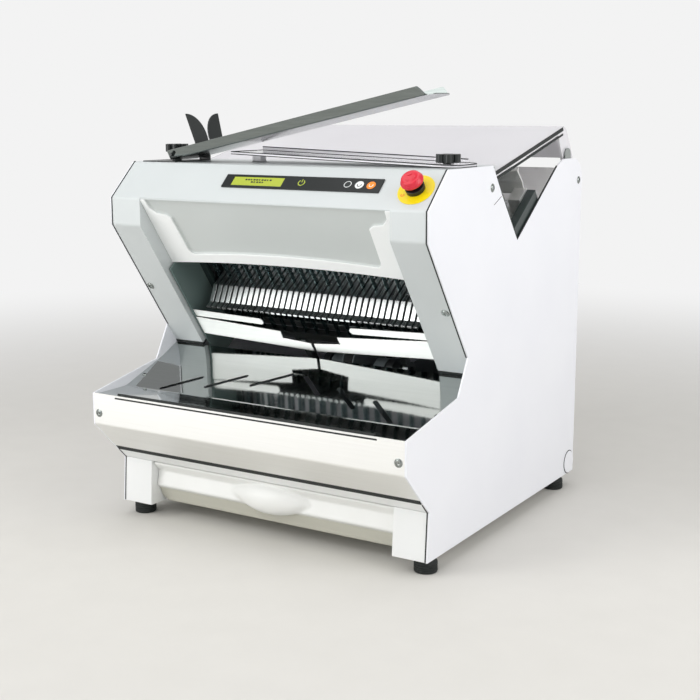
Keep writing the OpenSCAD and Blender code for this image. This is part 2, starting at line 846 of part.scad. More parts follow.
module estop_legend() {
    color("yellow") on_fascia(estop_x, estop_down) difference() {
        cylinder(h = legend_t, r = legend_r);
        translate([0, 0, -cut]) cylinder(h = legend_t + 2 * cut, r = collar_r + seat);
    }
}
module estop_collar() {
    color("dimgray") on_fascia(estop_x, estop_down) difference() {
        union() {
            translate([0, 0, -collar_depth]) cylinder(h = collar_depth + legend_t + cut, r = collar_r);
            translate([0, 0, legend_t]) cylinder(h = collar_flange_h, r = collar_flange_r);
        }
        translate([0, 0, -collar_depth - cut])
            cylinder(h = collar_depth + legend_t + collar_flange_h + 2 * cut, r = plunger_r + run_fit);
    }
}
module estop_plunger() {
    color("dimgray") on_fascia(estop_x, estop_down) union() {
        translate([0, 0, -collar_depth]) cylinder(h = collar_depth + head_z, r = plunger_r);
        translate([0, 0, head_z - cut]) cylinder(h = head_h / 2 + cut, r = plunger_r / 2);
    }
}
module estop_head() {
    color("red") on_fascia(estop_x, estop_down) translate([0, 0, head_z]) difference() {
        rotate_extrude() polygon([[0, 0], [head_r * 0.75, 0], [head_r, head_h * 0.25], [head_r, head_h * 0.5],
            [head_r * 0.86, head_h * 0.8], [head_r * 0.6, head_h], [0, head_h]]);
        translate([0, 0, -cut]) cylinder(h = head_h / 2 + 2 * cut, r = plunger_r / 2 + run_fit);
    }
}

module slot_cut() {
    translate([-slot_len / 2 + slot_w / 2, -slot_w / 2, -tray_t - cut])
        cube([slot_len - slot_w, slot_w, tray_t + 2 * cut]);
    for (s = [-1, 1]) translate([s * (slot_len - slot_w) / 2, 0, -tray_t - cut])
        cylinder(h = tray_t + 2 * cut, r = slot_w / 2);
}
module outlet_tray() {
    color("silver") difference() {
        slab(-inner_x, inner_x) polygon(folded([[nose_y + sheet_t, tray_z], [tray_bend_y, tray_z],
            [tray_knee_y, tray_knee_z], from_chute([-sheet_t, pillar_low])], -tray_t));
        both() for (i = [0:2]) on_facet(slot_pitch * (i + 0.5), slot_low + slot_rise * (2 - i))
            rotate([0, 0, -slot_turn]) slot_cut();
        both() on_facet(screw_x, tray_screw_s) translate([0, 0, -tray_t - cut])
            cylinder(h = tray_t + 2 * cut, r = screw_hole_r);
    }
}
module front_edge_strip() {
    color("black") translate([0, nose_y + sheet_t, tray_z])
        block([-strip_half, 0, 0], [strip_half, edge_d, edge_h]);
}
module front_apron() {
    color("silver") difference() {
        slab(-inner_x, inner_x) polygon(folded([[nose_y, nose_top_z], [nose_y, nose_low_z],
            on_skirt(apron_flange)], sheet_t));
        for (x = [-screw_x, screw_x]) translate([x, nose_y - cut, apron_screw_z]) rotate([-90, 0, 0])
            cylinder(h = sheet_t + 2 * cut, r = screw_hole_r);
    }
}

module outlet_plate() {
    leaf = [for (s = leaf_shares) [s[0] * cheek_in, -s[1] * leaf_drop]];
    strap = [for (s = strap_shares) [s[0] * cheek_in, -s[1] * leaf_drop]];
    in_chute() union() {
        front_sheet(leaf_a, leaf_t) polygon(leaf);
        front_sheet(leaf_a + leaf_t, leaf_t) union() {
            polygon(strap);
            translate((strap[0] + strap[3]) / 2) circle(r = (strap[3][1] - strap[0][1]) / 2);
        }
    }
}
module outlet_plate_right() {
    color("silver") outlet_plate();
}
module outlet_plate_left() {
    color("silver") mirror([1, 0, 0]) outlet_plate();
}

module cheek() {
    behind_hood = hood_a + hood_t + seat;
    under_hood = hood_low - seat;
    in_chute() slab(cheek_in, cheek_in + cheek_t) polygon([[leaf_a, cheek_low], [cheek_a, cheek_low],
        [cheek_a, cheek_top], [behind_hood + cheek_cut, cheek_top], [behind_hood, cheek_top - cheek_cut],
        [behind_hood, under_hood], [leaf_a, under_hood]]);
}
module cheek_right() {
    color("darkslategray") cheek();
}
module cheek_left() {
    color("darkslategray") mirror([1, 0, 0]) cheek();
}
module cheek_spacers() {
    color("gray") both() in_chute() for (s = spacer_shares) round_bar(cheek_in + cheek_t, inner_x,
        [leaf_a + s[0] * (cheek_a - leaf_a), cheek_low + s[1] * (cheek_top - cheek_low)], spacer_r);
}
module blade_guides() {
    color("ivory") both() in_chute() {
        block([cheek_in - guide_w, front_a - frame_d / 2 - seat - guide_d, guide_low],
            [cheek_in, front_a - frame_d / 2 - seat, guide_top]);
        block([cheek_in - guide_w, front_a + frame_d / 2 + seat, guide_low],
            [cheek_in, rear_a - frame_d / 2 - seat, guide_top]);
        block([cheek_in - guide_w, rear_a + frame_d / 2 + seat, guide_low],
            [cheek_in, rear_a + frame_d / 2 + seat + guide_d, guide_top]);
    }
}

module bread_bed() {
    color("silver") in_chute() union() {
        block([-inner_x, plate_a, -plate_t], [inner_x, bed_a, 0]);
        for (i = [0:bar_n - 1]) translate([(i - bar_n / 2 + 0.5) * slice, 0, 0]) slab(-bar_w / 2, bar_w / 2)
            polygon([[bar_tip, -lip_t], [bar_tip, 0], [bar_foot, 0], [bar_head, bar_h],
                [bed_a, bar_h], [bed_a, -lip_t]]);
    }
}
module pusher_rails() {
    color("darkslategray") both() in_chute() block([inner_x - rail_w, plate_a, 0], [inner_x, bed_a, rail_h]);
}
module chamber_ceiling() {
    color("darkslategray") in_chute()
        block([-inner_x, cheek_a, ceiling_h], [inner_x, ceiling_a, ceiling_h + sheet_t]);
}
module rear_floor() {
    top = from_chute([notch_reach, 0]);
    color("silver") slab(-inner_x, inner_x) polygon(folded([from_chute([bed_a, 0]), top,
        [top[0], shelf_z], [rear_panel_y, shelf_z]], -sheet_t));
}
module pusher_plate() {
    low = bar_h + seat;
    color("silver") in_chute() union() {
        slab(-push_half, push_half) polygon(folded([for (s = push_shares) [bed_a + (s[0] - 1) * 2 * push_t,
            low + s[1] * push_h]], -push_t));
        both() translate([inner_x - rail_w - seat - shoe_w, bed_a - shoe_len, seat])
            cube([shoe_w, shoe_len, shoe_h - seat]);
    }
}

module blade_frame(a) {
    in_chute() union() {
        block([-frame_out, a - frame_d / 2, frame_top], [frame_out, a + frame_d / 2, frame_top + frame_h]);
        block([-frame_out, a - frame_d / 2, frame_low - frame_h], [frame_out, a + frame_d / 2, frame_low]);
        both() block([frame_out - frame_w, a - frame_d / 2, frame_low - frame_h],
            [frame_out, a + frame_d / 2, frame_top + frame_h]);
        block([rod_x + rod_t + seat, a - frame_d / 2, wrist_z - 2 * wrist_r],
            [rod_x + rod_t + seat + lug_t, a + frame_d / 2, frame_low - frame_h / 2]);
        round_bar(rod_x, rod_x + rod_t + seat + lug_t / 2, [a, wrist_z], wrist_r);
    }
}
module front_blade_frame() {
    color("gray") mirror([1, 0, 0]) blade_frame(front_a);
}
module rear_blade_frame() {
    color("gray") blade_frame(rear_a);
}
module blades(a, first) {
    in_chute() for (i = [first:2:bar_n]) translate([(i - bar_n / 2) * slice, a, 0])
        block([-blade_t / 2, -blade_d / 2, frame_low], [blade_t / 2, blade_d / 2, frame_top]);
}
module front_blades() {
    color("silver") blades(front_a, 0);
}
module rear_blades() {
    color("silver") blades(rear_a, 1);
}

// Connecting rod from the wrist pin to the crank pin
module rod(a, pin_a) {
    v = [pin_a - a, -crank_drop - wrist_z];
    in_chute() slab(rod_x, rod_x + rod_t) difference() {
        union() {
            translate([a, wrist_z]) circle(r = rod_small_r);
            translate([pin_a, -crank_drop]) circle(r = rod_big_r);
            translate([a, wrist_z]) rotate(atan2(v[1], v[0])) translate([0, -rod_w / 2])
                square([norm(v), rod_w]);
        }
        translate([a, wrist_z]) circle(r = wrist_r + run_fit);
        translate([pin_a, -crank_drop]) circle(r = crank_pin_r + run_fit);
    }
}
module front_rod() {
    color("gray") mirror([1, 0, 0]) rod(front_a, crank_a - crank_throw);
}
module rear_rod() {
    color("gray") rod(rear_a, crank_a + crank_throw);
}
module crankshaft() {
    color("gray") union() {
        round_bar(-disc_x - disc_t / 2, disc_x + disc_t / 2, crank_at, shaft_r);
        both() round_bar(disc_x, disc_x + disc_t, crank_at, disc_r);
        mirror([1, 0, 0]) crank_pin(crank_a - crank_throw);
        crank_pin(crank_a + crank_throw);
    }
}
module crank_pin(a) {
    round_bar(disc_x + disc_t / 2, disc_x + disc_t + crank_pin_len, from_chute([a, -crank_drop]), crank_pin_r);
}
module pulley(p, r, bore) {
    translate([0, p[0], p[1]]) rotate([0, 90, 0]) difference() {
        rotate_extrude() polygon([[0, -groove_w / 2 - flange_t], [r + flange_h, -groove_w / 2 - flange_t],
            [r + flange_h, -groove_w / 2], [r, -groove_w / 2], [r, groove_w / 2], [r + flange_h, groove_w / 2],
            [r + flange_h, groove_w / 2 + flange_t], [0, groove_w / 2 + flange_t]]);
        translate([0, 0, -groove_w]) cylinder(h = 2 * groove_w, r = bore);
    }
}
module crank_pulley() {
    color("dimgray") pulley(crank_at, crank_pulley_r, shaft_r + run_fit);
}
module motor_pulley() {
    color("dimgray") union() {
        pulley(motor_at, motor_pulley_r, motor_shaft_r / 2);
        round_bar(-groove_w / 2 - flange_t, motor_x + motor_bore, motor_at, motor_shaft_r);
    }
}
module belt_shape(r1, r2) {
    translate(crank_at) circle(r = r1);
    translate(motor_at) circle(r = r2);
    polygon(belt_sides(crank_at, r1, motor_at, r2));
}
module drive_belt() {
    color("black") slab(-belt_w / 2, belt_w / 2) difference() {
        belt_shape(crank_pulley_r + seat + belt_t, motor_pulley_r + seat + belt_t);
        belt_shape(crank_pulley_r + seat, motor_pulley_r + seat);
    }
}
module bearing_stands() {
    color("dimgray") both() difference() {
        union() {
            block([stand_x, crank_at[0] - stand_d / 2, deck_top],
                [stand_x + stand_w, crank_at[0] + stand_d / 2, crank_at[1]]);
            round_bar(stand_x, stand_x + stand_w, crank_at, stand_d / 2);
        }
        round_bar(stand_x - cut, stand_x + stand_w + cut, crank_at, shaft_r + run_fit);
    }
}
module motor() {
    color("slategray") difference() {
        union() {
            round_bar(motor_x, motor_x + motor_len, motor_at, motor_r);
            round_bar(motor_x - motor_bore / 10, motor_x + motor_bore, motor_at, motor_r / 2);
            translate([motor_x + motor_len / 3, motor_y - motor_r / 2, motor_at[1]])
                cube([motor_len / 3, motor_r, motor_r * 1.3]);
        }
        round_bar(motor_x - motor_bore, motor_x + motor_bore + cut, motor_at, motor_shaft_r + run_fit);
    }
}
module motor_feet() {
    color("dimgray") difference() {
        for (s = [0.15, 0.75]) translate([motor_x + motor_len * s, motor_y - motor_r, deck_top])
            cube([motor_foot_t * 2, 2 * motor_r, motor_h * 0.6]);
        round_bar(motor_x - cut, motor_x + motor_len + cut, motor_at, motor_r + seat);
    }
}
module control_box() {
    color("lightgray")
        block([box_x - box_w / 2, rear_panel_y - box_d, box_z],
            [box_x + box_w / 2, rear_panel_y, box_z + box_h]);
}
module cable_gland() {
    color("black") translate([box_x, rear_panel_y, gland_z]) rotate([-90, 0, 0]) difference() {
        union() {
            translate([0, 0, -gland_r]) cylinder(h = 2 * gland_r + panel_t, r = gland_r);
            translate([0, 0, panel_t]) cylinder(h = gland_r / 2, r = gland_r * 1.5, $fn = 6);
            translate([0, 0, -gland_r / 2]) cylinder(h = gland_r / 2, r = gland_r * 1.5, $fn = 6);
        }
        translate([0, 0, -2 * gland_r]) cylinder(h = 5 * gland_r, r = gland_r * 0.6);
    }
}
module cap_plugs() {
    color("black") both() {
        round_bar(inner_x, body_w / 2 + cut, [plug_y, plug_z], plug_r * 0.8);
        round_bar(body_w / 2, body_w / 2 + plug_h, [plug_y, plug_z], plug_r);
    }
}
module screw(t, r) {
    translate([0, 0, -t]) cylinder(h = t + screw_h / 2, r = shank_r);
    cylinder(h = screw_h, r = r);
}
module cover_screws() {
    color("silver") both() {
        for (p = panel_screws) translate([body_w / 2, p[0], p[1]]) rotate([0, 90, 0]) screw(panel_t, screw_r);
        in_chute() translate([screw_x, 0, pillar_screw_z]) rotate([90, 0, 0]) screw(sheet_t, screw_r);
        translate([screw_x, nose_y, apron_screw_z]) rotate([90, 0, 0]) screw(sheet_t, screw_r);
        on_facet(screw_x, tray_screw_s) screw(tray_t, tray_screw_r);
    }
}

module crumb_drawer() {
    lens_r = (grip_half * grip_half + grip_r * grip_r) / (2 * grip_r);
    low = under_z + 2 * cut;
    half = sill_in - cut;
    front = [for (s = front_shares) [bin_front_y + s[0] * (leg_y - bin_front_y),
        low + s[1] * (leg_top_z - under_z)]];
    top = front[0][1];
    color("gainsboro") union() {
        intersection() {
            slab(-half, half) polygon(front);
            translate([0, bin_front_y + cut, 0]) rotate([90, 0, 0])
                linear_extrude(bin_front_y - leg_y + 2 * cut) polygon([[-half, top + cut],
                    [-half, low + corner_h], [corner_w - half, low], [half - corner_w, low],
                    [half, low + corner_h], [half, top + cut]]);
        }
        intersection() {
            translate([0, grip_y, grip_z]) rotate([0, 90, 0]) rotate_extrude() intersection() {
                translate([grip_r - lens_r, 0]) circle(r = lens_r, $fn = 180);
                translate([0, -grip_half]) square([grip_r, 2 * grip_half]);
            }
            block([-grip_half, grip_y - grip_r - cut, low], [grip_half, bin_front_y, top]);
        }
        difference() {
            union() {
                block([-bin_half, bin_front_y - cut, bin_z], [bin_half, bin_rear_y, bin_top_z]);
                both() block([bin_half - bin_t, bin_front_y - cut, bin_top_z - bin_t],
                    [bin_half + rim_w, bin_rear_y, bin_top_z]);
            }
            block([bin_t - bin_half, bin_front_y + bin_t, bin_z + bin_t],
                [bin_half - bin_t, bin_rear_y - bin_t, bin_top_z + cut]);
        }
    }
}

module lid_hinges() {
    color("silver") both() {
        block([inner_x - hinge_t, hinge_y - hinge_half, hinge_z - hinge_low],
            [inner_x, hinge_y + hinge_half, hinge_z]);
        round_bar(inner_x - hinge_t, inner_x, [hinge_y, hinge_z], hinge_half);
        round_bar(inner_x - hinge_t - hinge_pin_len, inner_x - hinge_t / 2, [hinge_y, hinge_z], hinge_r);
    }
}
module lid() {
    low = [hinge_half * 0.9, -hinge_half * 0.9];
    color("lavender", 0.6) difference() {
        union() {
            slab(-lid_half, lid_half) polygon(folded([lid_front, lid_top, lid_fold, lid_end], -lid_t));
            both() slab(lid_half - lid_side_t, lid_half) polygon([lid_front, lid_top, lid_fold, lid_end,
                [hinge_y + low[0], hinge_z + low[1]], [hinge_y - low[0], hinge_z + low[1]],
                lid_top + lid_edge - [lid_flange * 3, lid_flange * 0.7], lid_front + lid_edge]);
        }
        both() round_bar(lid_half - lid_side_t - cut, lid_half + cut, [hinge_y, hinge_z], hinge_r + run_fit);
    }
}

module base_plan() {
    depth = base_rear_y - base_front_y;
    translate([-base_left, base_front_y]) square([base_left + base_right - base_round, depth]);
    translate([0, base_front_y + base_round]) square([base_right, depth - 2 * base_round]);
    for (y = [base_front_y + base_round, base_rear_y - base_round])
        translate([base_right - base_round, y]) circle(r = base_round);
}
module base_strip() {
    color("lavender", 0.7) difference() {
        union() {
            on_base_strip() {
                linear_extrude(base_t) base_plan();
                translate([-base_left, base_rear_y - base_t, 0])
                    cube([base_left + base_right - base_round, base_t, base_lip]);
            }
            difference() {
                on_base_strip() translate([-base_left, base_rear_y - 2 * base_foot, -2 * base_foot])
                    cube([base_foot, base_foot, 2 * base_foot + base_t / 2]);
                translate([-body_w, base_front_y, cover_z - 3 * base_foot])
                    cube([2 * body_w, body_w, 3 * base_foot]);
            }
        }
        translate([knob_x, knob_y, cover_z - cut])
            cylinder(h = base_h + 2 * base_t, r = stud_r + run_fit);
    }
}
module scoop_bracket() {
    ear_y = scoop_half + ear_t / 2;
    color("silver") difference() {
        union() {
            translate([bracket_x, scoop_y - ear_y - ear_t, cover_z])
                cube([scoop_x + ear_half - bracket_x, 2 * (ear_y + ear_t), bracket_t]);
            translate([scoop_x, scoop_y + ear_y + ear_t / 2, cover_z]) {
                translate([-ear_half, -ear_t / 2, 0]) cube([2 * ear_half, ear_t, scoop_h]);
                translate([0, ear_t / 2, scoop_h]) rotate([90, 0, 0]) cylinder(h = ear_t, r = ear_half);
                translate([0, 0, scoop_h]) rotate([90, 0, 0]) cylinder(h = 2 * ear_y + ear_t, r = stub_r);
            }
        }
        translate([-knob_x, knob_y, cover_z - cut]) cylinder(h = bracket_t + 2 * cut, r = stud_r + run_fit);
    }
}
module scoop_plan() {
    translate([-scoop_tail, -scoop_half]) square([scoop_len + scoop_tail - scoop_round, 2 * scoop_half]);
    translate([0, scoop_round - scoop_half]) square([scoop_len, 2 * (scoop_half - scoop_round)]);
    for (s = [-1, 1]) translate([scoop_len - scoop_round, s * (scoop_half - scoop_round)])
        circle(r = scoop_round);
}
module scoop() {
    top = scoop_base + scoop_wall;
    color("silver") on_scoop() difference() {
        intersection() {
            slab(-scoop_tail, scoop_len) polygon(folded([[-scoop_half, top], [-scoop_floor_half, scoop_base],
                [scoop_floor_half, scoop_base], [scoop_half, top]], scoop_t));
            translate([0, 0, scoop_base - cut]) linear_extrude(scoop_wall + 2 * cut) scoop_plan();
        }
        translate([0, scoop_half + cut, 0]) rotate([90, 0, 0])
            cylinder(h = 2 * (scoop_half + cut), r = stub_r + run_fit);
    }
}
module scoop_horns() {
    low = scoop_base + scoop_t;
    color("black") on_scoop() both_sides() slab(horn_x, horn_x + horn_t) polygon(concat(
        [[horn_gap, low], [scoop_floor_half - 2 * scoop_t, low],
            [scoop_half - 2 * scoop_t - cut, scoop_base + scoop_wall]],
        arc([horn_reach, horn_h - horn_r], horn_r, 90, 180)));
}
module both_sides() {
    children();
    mirror([0, 1, 0]) children();
}
module knob(x, base, z) {
    translate([x, knob_y, cover_z]) {
        translate([0, 0, z]) linear_extrude(knob_h) {
            circle(r = knob_r);
            for (i = [1:lobe_n]) rotate(i * 360 / lobe_n) translate([knob_r, 0]) circle(r = lobe_r);
        }
        rotate_extrude() polygon([[0, -stud_low], [stud_r, -stud_low], [stud_r, base], [knob_neck_r, base],
            [knob_neck_r, z + cut], [0, z + cut]]);
    }
}
module knob_left() {
    color("black") knob(-knob_x, bracket_t + seat, knob_left_z);
}
module knob_right() {
    color("black") knob(knob_x, base_h + base_t + 2 * seat, knob_right_z);
}

side_panel_left();
side_panel_right();
base_frame();
crumb_deck();
feet();
rear_panel();
front_cover();
hood_guard();
display_bezel();
lcd_window();
estop_legend();
estop_collar();
outlet_tray();
front_apron();
front_edge_strip();
outlet_plate_left();
outlet_plate_right();
cheek_left();
cheek_right();
cheek_spacers();
blade_guides();
bread_bed();
pusher_rails();
chamber_ceiling();
rear_floor();
lid_hinges();
base_strip();
scoop_bracket();
motor();
motor_feet();
drive_belt();
bearing_stands();
control_box();
cable_gland();
cap_plugs();
cover_screws();
lid();
crumb_drawer();
pusher_plate();
front_blade_frame();
front_blades();
rear_blade_frame();
rear_blades();
front_rod();
rear_rod();
crankshaft();
crank_pulley();
motor_pulley();
estop_plunger();
estop_head();
key_power();
key_ring();
key_white();
key_amber();
scoop();
scoop_horns();
knob_left();
knob_right();
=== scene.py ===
"""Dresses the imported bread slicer: shell, steel outlet, blade chamber, crumb drawer, lid and scoop."""
import json
import logging
import math
from dataclasses import dataclass
from enum import Enum
from typing import Callable

import bmesh
import bpy
from mathutils import Euler, Matrix, Vector


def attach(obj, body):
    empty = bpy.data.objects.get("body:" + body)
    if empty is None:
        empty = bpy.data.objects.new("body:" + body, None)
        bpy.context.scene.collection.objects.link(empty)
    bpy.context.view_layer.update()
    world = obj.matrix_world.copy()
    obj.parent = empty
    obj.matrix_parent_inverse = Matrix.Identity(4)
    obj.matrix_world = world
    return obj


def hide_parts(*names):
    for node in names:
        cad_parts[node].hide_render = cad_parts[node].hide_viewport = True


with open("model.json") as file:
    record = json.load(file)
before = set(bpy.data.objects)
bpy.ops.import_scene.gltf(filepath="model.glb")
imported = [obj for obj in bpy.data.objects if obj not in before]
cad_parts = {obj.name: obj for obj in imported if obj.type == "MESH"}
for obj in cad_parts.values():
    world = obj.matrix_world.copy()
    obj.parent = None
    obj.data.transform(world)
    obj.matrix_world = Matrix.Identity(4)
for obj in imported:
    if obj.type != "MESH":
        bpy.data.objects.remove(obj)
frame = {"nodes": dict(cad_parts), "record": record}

LOG = logging.getLogger("slicer")
MM = 0.001
SIDES = ((-1.0, "left"), (1.0, "right"))
# Attribute that marks where a piece takes the second colour of its finish, which paints light and shade on
# it.
SHADING_MARKS = "painted_shading"
LEAST_ROUGHNESS = 0.02
# Height of a printed mark over its face.
MARK_H_MM = 0.12
# Pitch of the bread bed, which the hood guard stands square to.
PITCH_DEG = 35.3

Pair = tuple[float, float]
Triple = tuple[float, float, float]
Colour = tuple[float, float, float, float]
Piece = bpy.types.Object
Socket = bpy.types.NodeSocket
Sockets = dict[str | int, object]


class Brush(Enum):
    """Way in which a metal face was brushed, as the stretch of its grain along X, Y and Z."""

    ALONG_X = (0.02, 1.0, 1.0)
    ALONG_Y = (1.0, 0.02, 0.02)
    ALL_WAYS = (1.0, 1.0, 1.0)


def clamp(value: float) -> float:
    """Keep a value between zero and one."""
    return min(max(value, 0.0), 1.0)


def hex_linear(code: str) -> Colour:
    """Turn an sRGB hex value into a linear colour.

    Args:
        code: Colour such as "#EEF0F4".

    Returns:
        Linear red, green and blue, and an alpha of one.
    """
    parts = [int(code[i:i + 2], 16) / 255.0 for i in (1, 3, 5)]
    linear = [c / 12.92 if c <= 0.04045 else ((c + 0.055) / 1.055) ** 2.4 for c in parts]
    return (linear[0], linear[1], linear[2], 1.0)


def fill(tree: bpy.types.NodeTree, node: bpy.types.Node, sockets: Sockets) -> None:
    """Set or link inputs of a shader node.

    Args:
        tree: Node tree that holds the node.
        node: Node to fill.
        sockets: Value or output socket for each input, by name or number.
    """
    for key, value in sockets.items():
        if isinstance(value, Socket):
            tree.links.new(value, node.inputs[key])
        else:
            node.inputs[key].default_value = value


def add_node(tree: bpy.types.NodeTree, kind: str, sockets: Sockets | None = None,
             **settings: object) -> bpy.types.Node:
    """Add a shader node with its settings, values and links.

    Args:
        tree: Node tree that takes the node.
        kind: Type name of the node.
        sockets: Value or output socket for each input, by name or number.
        **settings: Attributes of the node itself.

    Returns:
        The new node.
    """
    node = tree.nodes.new(kind)
    for name, value in settings.items():
        setattr(node, name, value)
    fill(tree, node, sockets or {})
    return node


class MaterialTree:
    """Node tree of a material, from its Object coordinates to a principled shader."""

    def __init__(self, name: str) -> None:
        """Start the material.

        Args:
            name: Name of the material.
        """
        self.material = bpy.data.materials.new(name)
        self.material.use_nodes = True
        self.tree = self.material.node_tree
        self.tree.nodes.clear()
        self.shader = self.add("ShaderNodeBsdfPrincipled")
        self.add("ShaderNodeOutputMaterial", {"Surface": self.shader.outputs["BSDF"]})
        self.place = self.add("ShaderNodeTexCoord").outputs["Object"]

    def add(self, kind: str, sockets: Sockets | None = None, **settings: object) -> bpy.types.Node:
        """Add a node to this tree."""
        return add_node(self.tree, kind, sockets, **settings)

    def stretched(self, stretch: Triple, turn: float = 0.0) -> Socket:
        """Stretch the Object coordinates along each axis and turn them about Z, in radians."""
        sockets = {"Vector": self.place, "Scale": stretch, "Rotation": (0.0, 0.0, turn)}
        return self.add("ShaderNodeMapping", sockets).outputs["Vector"]

    def noise(self, size_mm: float, layers: float, place: Socket | None = None) -> Socket:
        """Cloudy pattern of a size, with finer layers in it, on the Object coordinates or on given ones."""
        sockets = {"Vector": place or self.place, "Scale": 1.0 / (size_mm * MM), "Detail": layers}
        return self.add("ShaderNodeTexNoise", sockets).outputs["Fac"]

    def mixed(self, share: Socket, first: Socket | Colour, second: Colour) -> Socket:
        """Mix two colours by a share of the second."""
        return self.add("ShaderNodeMix", {0: share, 6: first, 7: second}, data_type="RGBA").outputs[2]

    def tones(self, share: Socket, colour: str, shade: str, second: str = "") -> Socket:
        """Mix the tones of a finish by a pattern.

        Args:
            share: Pattern that mixes them.
            colour: First tone, as a hex code.
            shade: Second tone, as a hex code.
            second: Colour laid over both where a piece is marked for it, which paints light and shade, or
                none.

        Returns:
            The colour of the surface.
        """
        tone = self.mixed(share, hex_linear(colour), hex_linear(shade))
        if second:
            marks = self.add("ShaderNodeAttribute", attribute_name=SHADING_MARKS).outputs["Fac"]
            tone = self.mixed(marks, tone, hex_linear(second))
        return tone

    def spread(self, value: Socket, taken: Pair, given: Pair, **settings: object) -> Socket:
        """Spread the range that is taken of a value over the range that is given."""
        ranges = {"From Min": taken[0], "From Max": taken[1], "To Min": given[0], "To Max": given[1]}
        return self.add("ShaderNodeMapRange", {"Value": value, **ranges}, **settings).outputs["Result"]

    def gloss(self, pattern: Socket, roughness: float, span: Pair, taken: Pair = (0.0, 1.0)) -> Socket:
        """Roughness that the taken range of a pattern changes by a lowest and a highest amount."""
        low, high = (max(roughness + change, LEAST_ROUGHNESS) for change in span)
        return self.spread(pattern, taken, (low, high))

    def bump(self, height: Socket, strength: float, depth_mm: float, **under: Socket) -> Socket:
        """Relief of a pattern, on the flat surface or on a Normal that is under it."""
        sockets = {"Height": height, "Strength": strength, "Distance": depth_mm * MM, **under}
        return self.add("ShaderNodeBump", sockets).outputs["Normal"]

    def finished(self, sockets: Sockets) -> bpy.types.Material:
        """Fill the shader and give back the material."""
        fill(self.tree, self.shader, sockets)
        return self.material


@dataclass(frozen=True)
class PowderCoat:
    """Polyester powder stoved on sheet steel: an even satin paint with a faint orange peel."""

    name: str
    colour: str
    shade: str
    roughness: float = 0.36
    gloss_span: Pair = (-0.02, 0.03)
    cloud_mm: float = 160.0
    cloud_layers: float = 4.0
    # Real peel is about 1.5 mm across; it is drawn coarser so that it shows.
    peel_mm: float = 4.0
    peel_layers: float = 2.0
    peel_depth_mm: float = 0.4
    peel_strength: float = 0.06
    ior: float = 1.5
    # Colour where a piece is marked for it, or none; on the hood it paints the frame paler than the shaded
    # recess.
    second: str = ""

    def make(self) -> bpy.types.Material:
        """Build the material.

        Returns:
            The finished material.
        """
        tree = MaterialTree(self.name)
        cloud = tree.noise(self.cloud_mm, self.cloud_layers)
        peel = tree.noise(self.peel_mm, self.peel_layers)
        return tree.finished({"Base Color": tree.tones(cloud, self.colour, self.shade, self.second),
                              "Roughness": tree.gloss(cloud, self.roughness, self.gloss_span),
                              "Normal": tree.bump(peel, self.peel_strength, self.peel_depth_mm),
                              "IOR": self.ior})


@dataclass(frozen=True)
class BareSteel:
    """Rolled steel left bare: brushed or polished, so that it mirrors its surroundings with a fine streak."""

    name: str
    colour: str
    shade: str
    roughness: float
    brush: Brush
    gloss_span: Pair = (-0.05, 0.08)
    # A brushed streak is under 0.2 mm wide; it is drawn wide enough to show.
    streak_mm: float = 3.0
    streak_layers: float = 3.0
    streak_depth_mm: float = 0.3
    streak_strength: float = 0.015
    wave_mm: float = 140.0
    wave_layers: float = 1.0
    wave_depth_mm: float = 0.06
    wave_strength: float = 0.35

    def make(self) -> bpy.types.Material:
        """Build the material.

        Returns:
            The finished material.
        """
        tree = MaterialTree(self.name)
        streak = tree.noise(self.streak_mm, self.streak_layers, tree.stretched(self.brush.value))
        wave = tree.noise(self.wave_mm, self.wave_layers)
        swell = tree.bump(wave, self.wave_strength, self.wave_depth_mm)
        relief = tree.bump(streak, self.streak_strength, self.streak_depth_mm, Normal=swell)
        return tree.finished({"Base Color": tree.tones(streak, self.colour, self.shade),
                              "Roughness": tree.gloss(streak, self.roughness, self.gloss_span),
                              "Normal": relief, "Metallic": 1.0})


@dataclass(frozen=True)
class Moulding:
    """Moulded plastic, rubber or film: an even colour with the fine spark-eroded grain of its mould."""

    name: str
    colour: str
    shade: str
    roughness: float
    gloss_span: Pair = (-0.06, 0.06)
    # Spark grain is about 0.3 mm; it is drawn coarser so that it shows.
    grain_mm: float = 2.0
    grain_depth_mm: float = 0.3
    grain_strength: float = 0.12
    cloud_mm: float = 60.0
    cloud_layers: float = 3.0
    ior: float = 1.5
    glow: float = 0.0
    # Colour where a piece is marked for it, or none; on the drawer it paints shade on the front's foot.
    second: str = ""

    def make(self) -> bpy.types.Material:
        """Build the material.

        Returns:
            The finished material.
        """
        tree = MaterialTree(self.name)
        cloud = tree.noise(self.cloud_mm, self.cloud_layers)
        cells = {"Vector": tree.place, "Scale": 1.0 / (self.grain_mm * MM)}
        grain = tree.add("ShaderNodeTexVoronoi", cells, feature="SMOOTH_F1").outputs["Distance"]
        tone = tree.tones(cloud, self.colour, self.shade, self.second)
        light = {"Emission Color": tone, "Emission Strength": self.glow} if self.glow > 0.0 else {}
        return tree.finished({"Base Color": tone,
                              "Roughness": tree.gloss(cloud, self.roughness, self.gloss_span),
                              "Normal": tree.bump(grain, self.grain_strength, self.grain_depth_mm),
                              "IOR": self.ior, **light})


